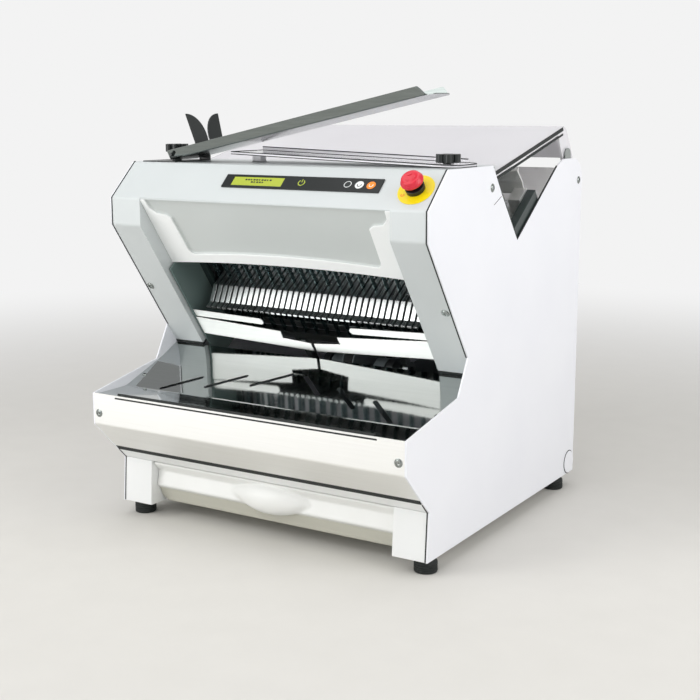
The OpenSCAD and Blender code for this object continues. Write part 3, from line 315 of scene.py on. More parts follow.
@dataclass(frozen=True)
class CastAcrylic:
    """Tinted cast acrylic: part clear, glossy sheet that carries faint clouds and wiping marks."""

    name: str
    colour: str
    shade: str
    roughness: float = 0.04
    gloss_span: Pair = (0.0, 0.1)
    clear: float = 0.3
    ior: float = 1.49
    # Wiping marks are hairlines; they are drawn a few millimetres wide so that they show.
    wipe_mm: float = 5.0
    wipe_layers: float = 2.0
    wipe_stretch: Triple = (0.15, 1.0, 1.0)
    wipe_turn: float = 0.4
    wipe_range: Pair = (0.45, 0.8)
    cloud_mm: float = 1000.0 / 6.0
    cloud_layers: float = 2.0
    cloud_depth_mm: float = 1.0
    cloud_strength: float = 0.08

    def make(self) -> bpy.types.Material:
        """Build the material.

        Returns:
            The finished material.
        """
        tree = MaterialTree(self.name)
        along = tree.stretched(self.wipe_stretch, self.wipe_turn)
        wipe = tree.noise(self.wipe_mm, self.wipe_layers, along)
        cloud = tree.noise(self.cloud_mm, self.cloud_layers)
        return tree.finished({"Base Color": tree.tones(cloud, self.colour, self.shade),
                              "Roughness": tree.gloss(wipe, self.roughness, self.gloss_span, self.wipe_range),
                              "Normal": tree.bump(cloud, self.cloud_strength, self.cloud_depth_mm),
                              "IOR": self.ior, "Transmission Weight": self.clear})


FINISHES: dict[str, PowderCoat | BareSteel | Moulding | CastAcrylic] = {
    "panel_paint": PowderCoat("white_powder_coat", "#F1F2F6", "#E9EAF0"),
    # Painted shade: the cover's white paint is darkened to grey-green for the light that falls less on its
    # sloping faces.
    "cover_paint": PowderCoat("shaded_cover_powder_coat", "#CDD2D2", "#C5CACA", roughness=0.34),
    # Painted shade: the hood's grey stands in for the shade in its recess, and only its marked frame takes
    # the white of the paint.
    "hood_white": PowderCoat("hood_enamel_painted_shade", "#CBD0CE", "#C3C8C6", roughness=0.32, peel_strength=0.03,
                             second="#F4F6F5"),
    "frame_paint": PowderCoat("frame_powder_coat", "#F0F1F1", "#E4E6E5", roughness=0.4),
    # Painted shade: the second tone darkens the drawer front's foot, which faces down.
    "drawer_grey": Moulding("pale_abs_painted_shade", "#EFF0EE", "#E6E7E4", 0.36, grain_mm=2.5, grain_strength=0.08,
                            second="#BFBEB2"),
    "polished_steel": BareSteel("polished_stainless", "#C8CCCB", "#BCC1C0", 0.05, Brush.ALONG_X,
                                streak_strength=0.002, wave_mm=320.0, wave_depth_mm=0.02),
    "satin_steel": BareSteel("satin_stainless", "#F8F8F6", "#F0F0ED", 0.46, Brush.ALONG_X,
                             streak_strength=0.006, wave_mm=260.0, wave_depth_mm=0.03),
    # Painted shade: the scoop's steel is darkened for the shade under it and the dark it mirrors.
    "smoked_steel": BareSteel("scoop_stainless_painted_shade", "#8D9391", "#747A78", 0.13, Brush.ALONG_X,
                              streak_strength=0.004, wave_mm=220.0, wave_depth_mm=0.05),
    "bed_steel": BareSteel("ground_bed_steel", "#DDE0DF", "#C9CDCC", 0.27, Brush.ALONG_Y,
                           streak_strength=0.002, wave_depth_mm=0.0),
    "blade_steel": BareSteel("blade_spring_steel", "#82989A", "#607674", 0.26, Brush.ALL_WAYS,
                             streak_strength=0.004, wave_depth_mm=0.0),
    "frame_steel": BareSteel("machined_steel", "#A9AFAF", "#868D8C", 0.34, Brush.ALONG_X),
    "dark_paint": PowderCoat("dark_powder_coat", "#233231", "#1A2726", roughness=0.42, peel_strength=0.1),
    # Painted light: the cheeks' dark teal is lightened to make up for the little light that reaches them.
    "cheek_grey": PowderCoat("cheek_enamel_painted_light", "#71827F", "#5F706D", roughness=0.34, peel_strength=0.08),
    "rail_grey": PowderCoat("rail_enamel", "#303B3A", "#273130", roughness=0.36, peel_strength=0.08),
    "guide_plastic": Moulding("guide_nylon", "#263433", "#1B2726", 0.45),
    "black_rubber": Moulding("moulded_rubber", "#1B2120", "#141918", 0.62, grain_mm=1.5),
    "black_plastic": Moulding("black_phenolic", "#1A2120", "#121716", 0.3, grain_strength=0.05),
    "strip_black": Moulding("printed_film", "#0C1111", "#121818", 0.38, grain_mm=1.2, grain_strength=0.04),
    "lcd_lens": Moulding("backlit_glass", "#A6B23E", "#B0BC4A", 0.22, grain_strength=0.0, glow=0.05),
    "legend_yellow": Moulding("printed_legend", "#F7E017", "#EBD000", 0.35, grain_strength=0.03),
    "stop_red": Moulding("red_polycarbonate", "#D9273B", "#C21A30", 0.28, grain_strength=0.03),
    "key_grey": Moulding("key_film_dark", "#1E2625", "#161C1B", 0.3, grain_strength=0.03),
    "key_white": Moulding("key_film_white", "#E9ECEB", "#D9DDDC", 0.3, grain_strength=0.03),
    "key_amber": Moulding("key_film_amber", "#F08A24", "#E57A12", 0.3, grain_strength=0.03, glow=0.15),
    "clear_lavender": CastAcrylic("lavender_acrylic", "#FBFAFD", "#F5F3F8"),
    "cast_grey": PowderCoat("motor_enamel", "#8A9496", "#788284", roughness=0.42, peel_strength=0.12),
    "box_grey": PowderCoat("box_powder_coat", "#C9CCCB", "#BBBFBE", roughness=0.42),
    "zinc": BareSteel("zinc_plate", "#A9AEAB", "#838986", 0.12, Brush.ALL_WAYS, streak_mm=1.5,
                      wave_depth_mm=0.0),
}


def clear() -> None:
    """Leave edit mode and deselect everything."""
    if bpy.context.mode != "OBJECT":
        bpy.ops.object.mode_set(mode="OBJECT")
    bpy.ops.object.select_all(action="DESELECT")


def take(obj: Piece) -> None:
    """Make one object the only selected and active one.

    Args:
        obj: Object to take.
    """
    clear()
    obj.select_set(True)
    bpy.context.view_layer.objects.active = obj


def named(name: str) -> Piece:
    """Name the active object and its data, and give it back."""
    bpy.context.active_object.name = bpy.context.active_object.data.name = name
    return bpy.context.active_object


def enter(obj: Piece, select: bool = True, faces: bool = False) -> bmesh.types.BMesh:
    """Open an object in edit mode.

    Args:
        obj: Mesh object to edit.
        select: Whether all of its mesh starts selected.
        faces: Whether faces are selected, in place of edges.

    Returns:
        The edit mesh.
    """
    take(obj)
    bpy.ops.object.mode_set(mode="EDIT")
    bpy.ops.mesh.select_mode(type="FACE" if faces else "EDGE")
    bpy.ops.mesh.select_all(action="SELECT" if select else "DESELECT")
    return bmesh.from_edit_mesh(obj.data)


def pick_edges(obj: Piece, wanted: Callable[[bmesh.types.BMEdge], bool]) -> bool:
    """Open an object in edit mode with only the wanted edges selected.

    Args:
        obj: Mesh object to edit.
        wanted: Test of an edge.

    Returns:
        Whether any edge is selected.
    """
    mesh = enter(obj, select=False)
    found = [edge for edge in mesh.edges if wanted(edge)]
    for edge in found:
        edge.select_set(True)
    bmesh.update_edit_mesh(obj.data)
    return bool(found)


def pick_faces(obj: Piece, wanted: Callable[[bmesh.types.BMFace], bool]) -> None:
    """Open an object in edit mode with only the wanted faces selected.

    Args:
        obj: Mesh object to edit.
        wanted: Test of a face.
    """
    mesh = enter(obj, select=False, faces=True)
    for face in [face for face in mesh.faces if wanted(face)]:
        face.select_set(True)
    bmesh.update_edit_mesh(obj.data)


def extrude(*move_mm: float) -> None:
    """Extrude the selected faces by a move along X, Y and Z."""
    bpy.ops.mesh.extrude_region_move(TRANSFORM_OT_translate={"value": [step * MM for step in move_mm]})


def extrude_edges(*move_mm: float) -> None:
    """Extrude the selected edges by a move along X, Y and Z."""
    bpy.ops.mesh.extrude_edges_move(TRANSFORM_OT_translate={"value": [step * MM for step in move_mm]})


def bevel(width_mm: float, steps: int) -> None:
    """Round the selected edges."""
    bpy.ops.mesh.bevel(offset=width_mm * MM, segments=steps, affect="EDGES", clamp_overlap=True)


def settle() -> None:
    """Write the place, turn and size of the selected object into its mesh."""
    bpy.ops.object.transform_apply(location=True, rotation=True, scale=True)


def face_outwards(obj: Piece) -> None:
    """Turn all faces of an object the same way, outwards.

    Args:
        obj: Mesh object to mend.
    """
    enter(obj)
    bpy.ops.mesh.normals_make_consistent(inside=False)
    clear()


def bend_of(edge: bmesh.types.BMEdge) -> float:
    """Angle between the two faces of an edge, in degrees, or zero at a rim."""
    return math.degrees(edge.calc_face_angle(0.0)) if edge.is_manifold else 0.0


@dataclass(frozen=True)
class Rounding:
    """Rounds along the folds and square edges of a piece, where a width of zero leaves them out."""

    fold_mm: float = 0.0
    edge_mm: float = 0.5
    steps: int = 2
    # Angle from which an edge is shaded as sharp, and how far over it an edge is rounded.
    sharp_deg: float = 38.0
    margin_deg: float = 2.0
    # Bends and least length of an edge that counts as a fold of sheet.
    fold_deg: Pair = (13.0, 78.0)
    fold_length_mm: float = 12.0
    fold_steps: int = 4

    def is_fold(self, edge: bmesh.types.BMEdge) -> bool:
        """Whether an edge is a fold of sheet."""
        low, high = self.fold_deg
        return low < bend_of(edge) < high and edge.calc_length() > self.fold_length_mm * MM

    def soften(self, obj: Piece) -> None:
        """Round a piece and shade it smooth, with its flats kept flat.

        Args:
            obj: Piece to finish.
        """
        if self.fold_mm > 0.0 and pick_edges(obj, self.is_fold):
            bevel(self.fold_mm, self.fold_steps)
        take(obj)
        if self.edge_mm > 0.0:
            rounding = obj.modifiers.new("rounding", "BEVEL")
            rounding.width = self.edge_mm * MM
            rounding.segments = self.steps
            rounding.limit_method = "ANGLE"
            rounding.angle_limit = math.radians(self.sharp_deg + self.margin_deg)
            bpy.ops.object.modifier_apply(modifier=rounding.name)
        bpy.ops.object.shade_smooth_by_angle(angle=math.radians(self.sharp_deg))
        flats = obj.modifiers.new("flats", "WEIGHTED_NORMAL")
        flats.keep_sharp = True
        bpy.ops.object.modifier_apply(modifier=flats.name)


SHADED_ONLY = Rounding(edge_mm=0.0)
MARK_ROUND = Rounding(edge_mm=0.05)


def mark_painted_shading(obj: Piece, share: Callable[[Vector], float]) -> None:
    """Mark on a piece where its finish turns to its second colour, which paints light and shade on it.

    Args:
        obj: Piece to mark.
        share: From a point in metres, zero for the first colour to one for the second.
    """
    marks = obj.data.attributes.new(SHADING_MARKS, "FLOAT", "POINT")
    for spot, v in zip(marks.data, obj.data.vertices):
        spot.value = clamp(share(v.co))


def turned(name: str, rings: list[Pair], sides: int = 48) -> Piece:
    """Turn a round piece about Z from a disc that is extruded ring by ring.

    Args:
        name: Name of the piece.
        rings: Radius and height of each ring, in millimetres, from the bottom face up.
        sides: Corners of each ring.

    Returns:
        The piece, about the origin.
    """
    clear()
    radius, height = rings[0]
    bpy.ops.mesh.primitive_circle_add(vertices=sides, radius=radius * MM, fill_type="NGON",
                                      location=(0.0, 0.0, height * MM))
    obj = named(name)
    settle()
    enter(obj, faces=True)
    for next_radius, next_height in rings[1:]:
        extrude(0.0, 0.0, next_height - height)
        ratio = next_radius / radius
        bpy.ops.transform.resize(value=(ratio, ratio, 1.0), center_override=(0.0, 0.0, next_height * MM))
        radius, height = next_radius, next_height
    face_outwards(obj)
    return obj


def block(name: str, low: Triple, high: Triple) -> Piece:
    """Start a piece from a cube of a given extent.

    Args:
        name: Name of the piece.
        low: Lowest corner in millimetres.
        high: Highest corner in millimetres.

    Returns:
        The piece, with its place in its mesh.
    """
    clear()
    middle = [(a + b) / 2.0 * MM for a, b in zip(low, high)]
    size = [(b - a) * MM for a, b in zip(low, high)]
    bpy.ops.mesh.primitive_cube_add(size=1.0, location=middle, scale=size)
    obj = named(name)
    settle()
    clear()
    return obj


def put(obj: Piece, place: Matrix) -> Piece:
    """Move a piece and write the move into its mesh.

    Args:
        obj: Piece that sits at the origin.
        place: Where it goes.

    Returns:
        The same piece.
    """
    take(obj)
    obj.matrix_world = place
    settle()
    return obj


def twin(obj: Piece, name: str) -> Piece:
    """Copy a piece with a mesh of its own.

    Args:
        obj: Piece to copy.
        name: Name of the copy.

    Returns:
        The copy.
    """
    other = bpy.data.objects.new(name, obj.data.copy())
    other.data.name = name
    bpy.context.scene.collection.objects.link(other)
    return other


def joined(name: str, pieces: list[Piece]) -> Piece:
    """Join pieces into one object.

    Args:
        name: Name of the joined piece.
        pieces: Pieces to join, the first of which stays.

    Returns:
        The joined piece.
    """
    clear()
    for piece in pieces:
        piece.select_set(True)
    bpy.context.view_layer.objects.active = pieces[0]
    bpy.ops.object.join()
    return named(name)


def thicken(obj: Piece, wall_mm: float, offset: float = 0.0, even: bool = False) -> None:
    """Give a sheet its wall.

    Args:
        obj: Sheet to thicken.
        wall_mm: Thickness of the wall.
        offset: Zero for half of it to each side, minus one for all of it behind the sheet.
        even: Whether the wall keeps its thickness round bends.
    """
    take(obj)
    wall = obj.modifiers.new("wall", "SOLIDIFY")
    wall.thickness = wall_mm * MM
    wall.offset = offset
    wall.use_even_offset = even
    bpy.ops.object.modifier_apply(modifier=wall.name)


@dataclass(frozen=True)
class Band:
    """Thin rubber band: its edges across, its path in side view as depth and height, and its wall."""

    x_mm: Pair
    path_mm: tuple[Pair, ...]
    wall_mm: float
    # Share of its thinner side that its edges are rounded by.
    round_share: float = 0.2
    touch_mm: float = 0.001

    def lay(self, name: str, side: float = 1.0) -> Piece:
        """Lay the band along its path, with half of its wall to each side.

        Args:
            name: Name of the piece.
            side: One to lay it where it is given, minus one for its mirror image.

        Returns:
            The band, with its place in its mesh.
        """
        left, right = sorted(side * edge for edge in self.x_mm)
        clear()
        bpy.ops.mesh.primitive_plane_add(size=1.0)
        band = named(name)
        for v in band.data.vertices:
            depth, height = self.path_mm[1] if v.co.y > 0.0 else self.path_mm[0]
            v.co = Vector((right if v.co.x > 0.0 else left, depth, height)) * MM
        end = Vector(self.path_mm[1]) * MM
        pick_edges(band, lambda e: all((v.co.yz - end).length < self.touch_mm * MM for v in e.verts))
        for start, stop in zip(self.path_mm[1:], self.path_mm[2:]):
            extrude_edges(0.0, stop[0] - start[0], stop[1] - start[1])
        thicken(band, self.wall_mm, even=True)
        Rounding(edge_mm=min(self.wall_mm, right - left) * self.round_share).soften(band)
        return band


@dataclass(frozen=True)
class Hoop:
    """Flat hoop of a printed mark: radius of its middle line, width of its band and angle left open."""

    radius_mm: float
    width_mm: float
    gap_deg: float = 0.0
    # Half of the slice that the hoop is spun from, and how close points have to be to be merged.
    slice_mm: float = 0.01
    merge_mm: float = 0.005
    steps: int = 40

    def spun(self, name: str) -> Piece:
        """Spin the hoop about Z, open at the top where it has a gap.

        Args:
            name: Name of the piece.

        Returns:
            The hoop about the origin.
        """
        half = self.width_mm / 2.0
        obj = block(name, (self.radius_mm - half, -self.slice_mm, 0.0),
                    (self.radius_mm + half, self.slice_mm, MARK_H_MM))
        pick_faces(obj, lambda f: f.normal.y > 0.5)
        bpy.ops.mesh.spin(steps=self.steps, angle=math.radians(360.0 - self.gap_deg),
                          center=(0.0, 0.0, 0.0), axis=(0.0, 0.0, 1.0))
        bpy.ops.mesh.select_all(action="SELECT")
        bpy.ops.mesh.remove_doubles(threshold=self.merge_mm * MM)
        bpy.ops.mesh.normals_make_consistent(inside=False)
        return put(obj, Matrix.Rotation(math.radians(90.0 - self.gap_deg / 2.0), 4, "Z"))


class FinishBook:
    """Materials by slot, and the slot and body of every node."""

    def __init__(self) -> None:
        """Build every finish once and read where each node belongs."""
        record = frame["record"]
        self.materials = {slot: finish.make() for slot, finish in FINISHES.items()}
        self.slot_of = {part["node"]: part["material_slot"] for part in record["subparts"]}
        self.body_of = {node: body for body, nodes in record["behaviour"]["bodies"].items() for node in nodes}

    def paint(self, obj: Piece, slot: str) -> None:
        """Give a piece the material of a slot as its only one."""
        obj.data.materials.clear()
        obj.data.materials.append(self.materials[slot])


@dataclass
class SubAssembly:
    """Pieces that are made and dressed together."""

    book: FinishBook
    merge_mm: float = 0.01
    flat_deg: float = 0.4

    def carry(self, rounding: Rounding, *nodes: str) -> None:
        """Copy nodes, round their folds and edges, and let each copy stand for its node.

        Args:
            rounding: How the copies are rounded.
            *nodes: Names of the nodes.
        """
        for node in nodes:
            obj = self.copied(node)
            rounding.soften(obj)
            self.stand_in(obj, node)

    def copied(self, node: str) -> Piece:
        """Copy a node's mesh, merge its loose triangles and clear the lines inside flat faces.

        Args:
            node: Name of the node.

        Returns:
            The copy, still undressed.
        """
        obj = twin(frame["nodes"][node], f"{node}_finished")
        enter(obj)
        bpy.ops.mesh.remove_doubles(threshold=self.merge_mm * MM)
        bpy.ops.mesh.dissolve_limited(angle_limit=math.radians(self.flat_deg))
        clear()
        return obj

    def fit(self, obj: Piece, slot: str, *nodes: str, body: str | None = None) -> None:
        """Paint a finished piece and make it ride with the machine.

        Args:
            obj: Finished piece.
            slot: Material slot it takes.
            *nodes: Nodes that it stands for.
            body: Body that it rides on, where it stands for no node.
        """
        self.book.paint(obj, slot)
        if nodes:
            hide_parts(*nodes)
        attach(obj, body or self.book.body_of[nodes[0]])
        LOG.info("%s: %d faces, %s", obj.name, len(obj.data.polygons), slot)

    def stand_in(self, obj: Piece, node: str) -> None:
        """Fit a piece in place of a node, in the finish of that node."""
        self.fit(obj, self.book.slot_of[node], node)

    def rubber(self, obj: Piece, body: str = "body") -> None:
        """Fit a thin black piece that stands for no node: a rubber seal or trim, or a black strip of painted
        shade.
        """
        self.fit(obj, "black_rubber", body=body)

    def dress(self, node: str) -> None:
        """Paint a node that keeps its own shape."""
        self.book.paint(frame["nodes"][node], self.book.slot_of[node])
        LOG.info("%s: dressed, %s", node, self.book.slot_of[node])


@dataclass
class Shell(SubAssembly):
    """White sheet-steel housing with its frame, its rear closing, its rubber seals and its black strips of
    painted shade.
    """

    panel_round: Rounding = Rounding(edge_mm=1.0, steps=3)
    sheet_round: Rounding = Rounding(fold_mm=3.0, edge_mm=0.6)
    frame_round: Rounding = Rounding(fold_mm=2.0, edge_mm=3.0, steps=4)
    cap_round: Rounding = Rounding(edge_mm=1.6, steps=4)
    rim_round: Rounding = Rounding(edge_mm=1.5, steps=5)
    recess_deg: float = 80.0
    recess_round_mm: float = 3.0
    recess_steps: int = 6
    panel_x_mm: float = 325.0
    # How far a washer stands out from its cap plug, and the change of radius and height of its rings.
    washer_mm: float = 1.4
    washer_rings_mm: tuple[Pair, ...] = ((0.0, 0.0), (0.0, 0.5), (-0.3, 0.8))
    fascia_seal: Band = Band((320.0, 322.05), ((-215.0, 659.0), (-217.0, 659.0), (-282.0, 598.0),
                                               (-282.0, 549.0), (-137.5, 345.0)), 1.8)
    leg_seal: Band = Band((320.0, 322.05), ((-288.0, 130.5), (-270.0, 112.0), (-276.0, 29.0)), 1.8)
    notch_trim: Band = Band((322.4, 325.0), ((-16.8, 610.4), (50.5, 526.6), (222.4, 647.6)), 2.6)
    foot_seal: Band = Band((256.0, 321.0), ((-114.6, 311.5), (-111.7, 307.4)), 1.2)
    web_seal: Band = Band((255.0, 256.4), ((-112.4, 309.2), (-78.0, 333.5)), 3.4)
    # Black strip in the gap over the drawer: painted shade that deepens the gap.
    gap_shade_strip: Band = Band((-321.0, 321.0), ((-296.5, 140.0), (-291.2, 133.3), (-289.9, 131.4)), 1.0)
    # Black strip on the right panel: painted shade for the dark inside of a slit.
    panel_slit_shade: Band = Band((324.4, 325.05), ((-49.0, 593.0), (-20.0, 606.0)), 1.4)

    def build(self) -> None:
        """Finish the panels, the cover, the frame and the inner sheets, and lay the seals."""
        self.carry(self.panel_round, "side_panel_left", "side_panel_right")
        self.carry(self.sheet_round, "front_cover", "rear_panel")
        self.carry(self.frame_round, "base_frame")
        self.hood()
        self.carry(self.sheet_round, "crumb_deck", "chamber_ceiling", "rear_floor")
        self.carry(self.cap_round, "cap_plugs")
        self.washers()
        self.seals()

    def hood(self) -> None:
        """Hood guard, with a hollow round along the foot of its recess, and painted shade that leaves its
        recess greyer than the paler frame round it.
        """
        hood = self.copied("hood_guard")
        pick_edges(hood, lambda e: not e.is_convex and bend_of(e) > self.recess_deg)
        bevel(self.recess_round_mm, self.recess_steps)
        self.rim_round.soften(hood)
        slope = math.radians(PITCH_DEG)
        out = Vector((0.0, -math.cos(slope), -math.sin(slope)))
        front = max(v.co.dot(out) for v in hood.data.vertices)
        # Painted shade: the frame takes the paler second tone, and the recess set back from it keeps the
        # darker grey.
        mark_painted_shading(hood, lambda at: 1.0 - (front - at.dot(out)) / (self.recess_round_mm * MM))
        self.stand_in(hood, "hood_guard")

    def washers(self) -> None:
        """Rubber washer under each cap plug, which shows as a dark line round it."""
        spots = [v.co for v in frame["nodes"]["cap_plugs"].data.vertices]
        low, high = (Vector(end(c[i] for c in spots) for i in range(3)) for end in (min, max))
        middle, radius = (low + high) / 2.0, (high.z - low.z) / 2.0 / MM + self.washer_mm
        rings = [(radius + change, height) for change, height in self.washer_rings_mm]
        for side, hand in SIDES:
            at = Vector((side * self.panel_x_mm * MM, middle.y, middle.z))
            turn = Matrix.Rotation(side * math.pi / 2.0, 4, "Y")
            self.rubber(put(turned(f"cap_seal_{hand}", rings), Matrix.Translation(at) @ turn))

    def seals(self) -> None:
        """Seals beside the front sheets and trims in the V notches, with black strips as painted shade in the
        gap above the drawer and in the slit of the right panel.
        """
        for side, hand in SIDES:
            self.rubber(self.fascia_seal.lay(f"fascia_seal_{hand}", side))
            self.rubber(self.leg_seal.lay(f"leg_seal_{hand}", side))
            self.rubber(self.notch_trim.lay(f"notch_trim_{hand}", side))
            pillar = [self.foot_seal.lay("foot", side), self.web_seal.lay("web", side)]
            self.rubber(joined(f"pillar_seal_{hand}", pillar))
        self.rubber(self.gap_shade_strip.lay("gap_shade_strip"))
        # Painted shade: black strip on the panel face for a slit.
        self.rubber(self.panel_slit_shade.lay("panel_slit_shade"))


@dataclass
class FasciaPieces(SubAssembly):
    """Pieces on the sloping fascia, which runs from its upper fold to its lower one."""

    crest_mm: Pair = (-217.0, 659.0)
    brow_mm: Pair = (-282.0, 598.0)

    def on_fascia(self, x_mm: float, down_mm: float, rise_mm: float = 0.0) -> Matrix:
        """Frame on the fascia, with Y up the slope and Z out of it.

        Args:
            x_mm: Place across the machine.
            down_mm: Distance down the slope from its upper fold.
            rise_mm: Height over the sheet.

        Returns:
            The frame as a matrix in metres.
        """
        run = Vector(self.brow_mm) - Vector(self.crest_mm)
        pitch = math.atan2(-run.y, -run.x)
        at = Vector(self.crest_mm) + down_mm * run.normalized()
        base = Matrix.Translation((x_mm * MM, at.x * MM, at.y * MM)) @ Matrix.Rotation(pitch, 4, "X")
        return base @ Matrix.Translation((0.0, 0.0, rise_mm * MM))


@dataclass(frozen=True)
class KeyMark:
    """Plain mark on a key: its key, its place across, its slot, its hoop and whether it has a stroke."""

    key: str
    x_mm: float
    slot: str
    hoop: Hoop
    stroke: bool = False


@dataclass
class ControlStrip(FasciaPieces):
    """Display strip with its lens, its keys and their plain marks."""

    strip_round: Rounding = Rounding(edge_mm=0.8, steps=3)
    lens_round: Rounding = Rounding(edge_mm=0.4)
    key_round: Rounding = Rounding(edge_mm=0.3, steps=3)
    strip_down_mm: float = 40.5
    lens_x_mm: float = -22.0
    lens_top_mm: float = 2.0
    key_top_mm: float = 2.8
    dash_pitch_mm: float = 5.6
    dash_h_mm: float = 3.4
    # Width of every third dash, and of the others.
    dash_w_mm: Pair = (2.73, 3.99)
    # Height on the lens, number of dashes and start of each row.
    dash_rows: tuple[tuple[float, int, float], ...] = ((1.9, 10, -27.0), (-3.4, 5, -13.0))
    stroke_mm: tuple[Pair, Pair] = ((-0.85, 0.8), (0.85, 7.4))
    key_marks: tuple[KeyMark, ...] = (KeyMark("power", 68.0, "lcd_lens", Hoop(5.9, 1.7, 70.0), stroke=True),
                                      KeyMark("ring", 158.0, "key_white", Hoop(6.3, 1.2)),
                                      KeyMark("white", 180.0, "key_grey", Hoop(3.6, 1.2, 150.0)),
                                      KeyMark("amber", 202.0, "key_white", Hoop(3.4, 1.2, 120.0)))

    def build(self) -> None:
        """Finish the strip, the lens and the keys, and add the marks."""
        self.carry(self.strip_round, "display_bezel")
        self.carry(self.lens_round, "lcd_window")
        self.carry(self.key_round, "key_power", "key_ring", "key_white", "key_amber")
        self.lens_dashes()
        for mark in self.key_marks:
            self.print_mark(mark)

    def lens_dashes(self) -> None:
        """Two rows of plain dark dashes on the lens."""
        dashes = []
        short, long = self.dash_w_mm
        for up, count, start in self.dash_rows:
            for i in range(count):
                x = start + i * self.dash_pitch_mm
                right = x + (short if (i + count) % 3 == 0 else long)
                dash = block("dash", (x, up, 0.0), (right, up + self.dash_h_mm, MARK_H_MM))
                MARK_ROUND.soften(dash)
                dashes.append(dash)
        rows = joined("lens_dashes", dashes)
        put(rows, self.on_fascia(self.lens_x_mm, self.strip_down_mm, self.lens_top_mm))
        self.fit(rows, "strip_black", body="body")

    def print_mark(self, mark: KeyMark) -> None:
        """Print a mark on its key.

        Args:
            mark: Mark to print.
        """
        sign = mark.hoop.spun(f"{mark.key}_mark")
        if mark.stroke:
            (left, low), (right, high) = self.stroke_mm
            stroke = block("stroke", (left, low, 0.0), (right, high, MARK_H_MM))
            MARK_ROUND.soften(stroke)
            sign = joined(sign.name, [sign, stroke])
        put(sign, self.on_fascia(mark.x_mm, self.strip_down_mm, self.key_top_mm))
        self.fit(sign, mark.slot, body=f"key_{mark.key}_body")


@dataclass
class StopButton(FasciaPieces):
    """Emergency stop on its yellow disc: red mushroom head with turning arrows, and a small printed hoop."""

    disc_round: Rounding = Rounding()
    collar_round: Rounding = Rounding(edge_mm=1.0, steps=3)
    x_mm: float = 285.0
    down_mm: float = 45.0
    head_r_mm: float = 19.0
    head_h_mm: float = 14.0
    head_sides: int = 64
    # Rings of the head from its underside to the middle of its crown, as shares of its radius and height.
    head_shares: tuple[Pair, ...] = (
        (0.55, 0.0), (0.74, 0.01), (0.86, 0.07), (0.95, 0.18), (1.0, 0.33), (0.995, 0.46), (0.955, 0.58),
        (0.9, 0.7), (0.86, 0.8), (0.84, 0.88), (0.81, 0.94), (0.75, 0.98), (0.66, 1.0), (0.58, 0.985),
        (0.5, 0.955), (0.3, 0.93), (0.08, 0.925))
    arrows: int = 3
    arrow_up_share: float = 0.955
    arrow_half_mm: float = 0.5
    # Two corners of an arrow's bar, and the length and the change of width of the two steps of its tip.
    arrow_bar_mm: tuple[Pair, Pair] = ((5.6, -3.2), (8.2, 1.2))
    arrow_steps: tuple[Pair, Pair] = ((0.01, 2.0), (3.0, 0.05))
    hoop: Hoop = Hoop(2.6, 1.8, 60.0)
    # Place of the printed hoop, to the left of the head's middle and down from it.
    hoop_at_mm: Pair = (19.0, 13.0)

    def build(self) -> None:
        """Finish the disc and the collar, turn the head and print the hoop."""
        self.carry(self.disc_round, "estop_legend")
        self.carry(self.collar_round, "estop_collar")
        self.dress("estop_plunger")
        self.head()
        self.turn_mark()

    def heights(self, node: str) -> list[float]:
        """Heights of a node's corners over the fascia at the button, in millimetres."""
        back = self.on_fascia(self.x_mm, self.down_mm).inverted()
        return [(back @ v.co).z / MM for v in frame["nodes"][node].data.vertices]

    def head(self) -> None:
        """Mushroom head with a rolled rim, a hollow crown and raised arrows."""
        low = min(self.heights("estop_head"))
        r, h = self.head_r_mm, self.head_h_mm
        rings = [(r * wide, low + h * up) for wide, up in self.head_shares]
        pieces = [turned("estop_mushroom", rings, self.head_sides)]
        for i in range(self.arrows):
            pieces.append(self.arrow(i * 360.0 / self.arrows, low + h * self.arrow_up_share))
        head = joined("estop_mushroom", pieces)
        SHADED_ONLY.soften(head)
        put(head, self.on_fascia(self.x_mm, self.down_mm))
        self.stand_in(head, "estop_head")

    def turn_mark(self) -> None:
        """Small open hoop printed on the yellow disc, beside the head."""
        top = max(self.heights("estop_legend"))
        left, low = self.hoop_at_mm
        sign = put(self.hoop.spun("turn_mark"), self.on_fascia(self.x_mm - left, self.down_mm + low, top))
        self.fit(sign, "key_amber", body="body")

    def arrow(self, turn_deg: float, z_mm: float) -> Piece:
        """Raised arrow on the crown that shows the turning way.

        Args:
            turn_deg: Place round the crown.
            z_mm: Height of its middle.

        Returns:
            The arrow about the button's axis.
        """
        (inner, tail), (outer, neck) = self.arrow_bar_mm
        half = self.arrow_half_mm
        bar = block("arrow", (inner, tail, z_mm - half), (outer, neck, z_mm + half))
        pick_faces(bar, lambda f: f.normal.y > 0.5)
        for length, change in self.arrow_steps:
            extrude(0.0, length, 0.0)
            bpy.ops.transform.resize(value=(change, 1.0, 1.0),
                                     center_override=((inner + outer) / 2.0 * MM, 0.0, 0.0))
        return put(bar, Matrix.Rotation(math.radians(turn_deg), 4, "Z"))


@dataclass
class Outlet(SubAssembly):
    """Steel outlet: slotted tray, apron, rubber edge strip and the two plates."""

    sheet_round: Rounding = Rounding(fold_mm=3.0)
    bead_round: Rounding = Rounding(edge_mm=1.4, steps=4)
    lip_round: Rounding = Rounding(edge_mm=0.3)
    bead_mm: float = 2.5
    lip_mm: tuple[Triple, Triple] = ((-272.0, -348.5, 243.9), (272.0, -347.8, 246.8))

    def build(self) -> None:
        """Finish the sheets of the outlet and its edge strip."""
        self.carry(self.sheet_round, "outlet_tray", "front_apron", "outlet_plate_left", "outlet_plate_right")
        self.edge_strip()

    def edge_strip(self) -> None:
        """Rubber strip drawn up to a round bead behind the apron, with a thin lip in front of it."""
        bead = self.copied("front_edge_strip")
        pick_faces(bead, lambda f: f.normal.z > 0.5)
        extrude(0.0, 0.0, self.bead_mm)
        self.bead_round.soften(bead)
        self.stand_in(bead, "front_edge_strip")
        lip = block("edge_strip_lip", *self.lip_mm)
        self.lip_round.soften(lip)
        self.rubber(lip)


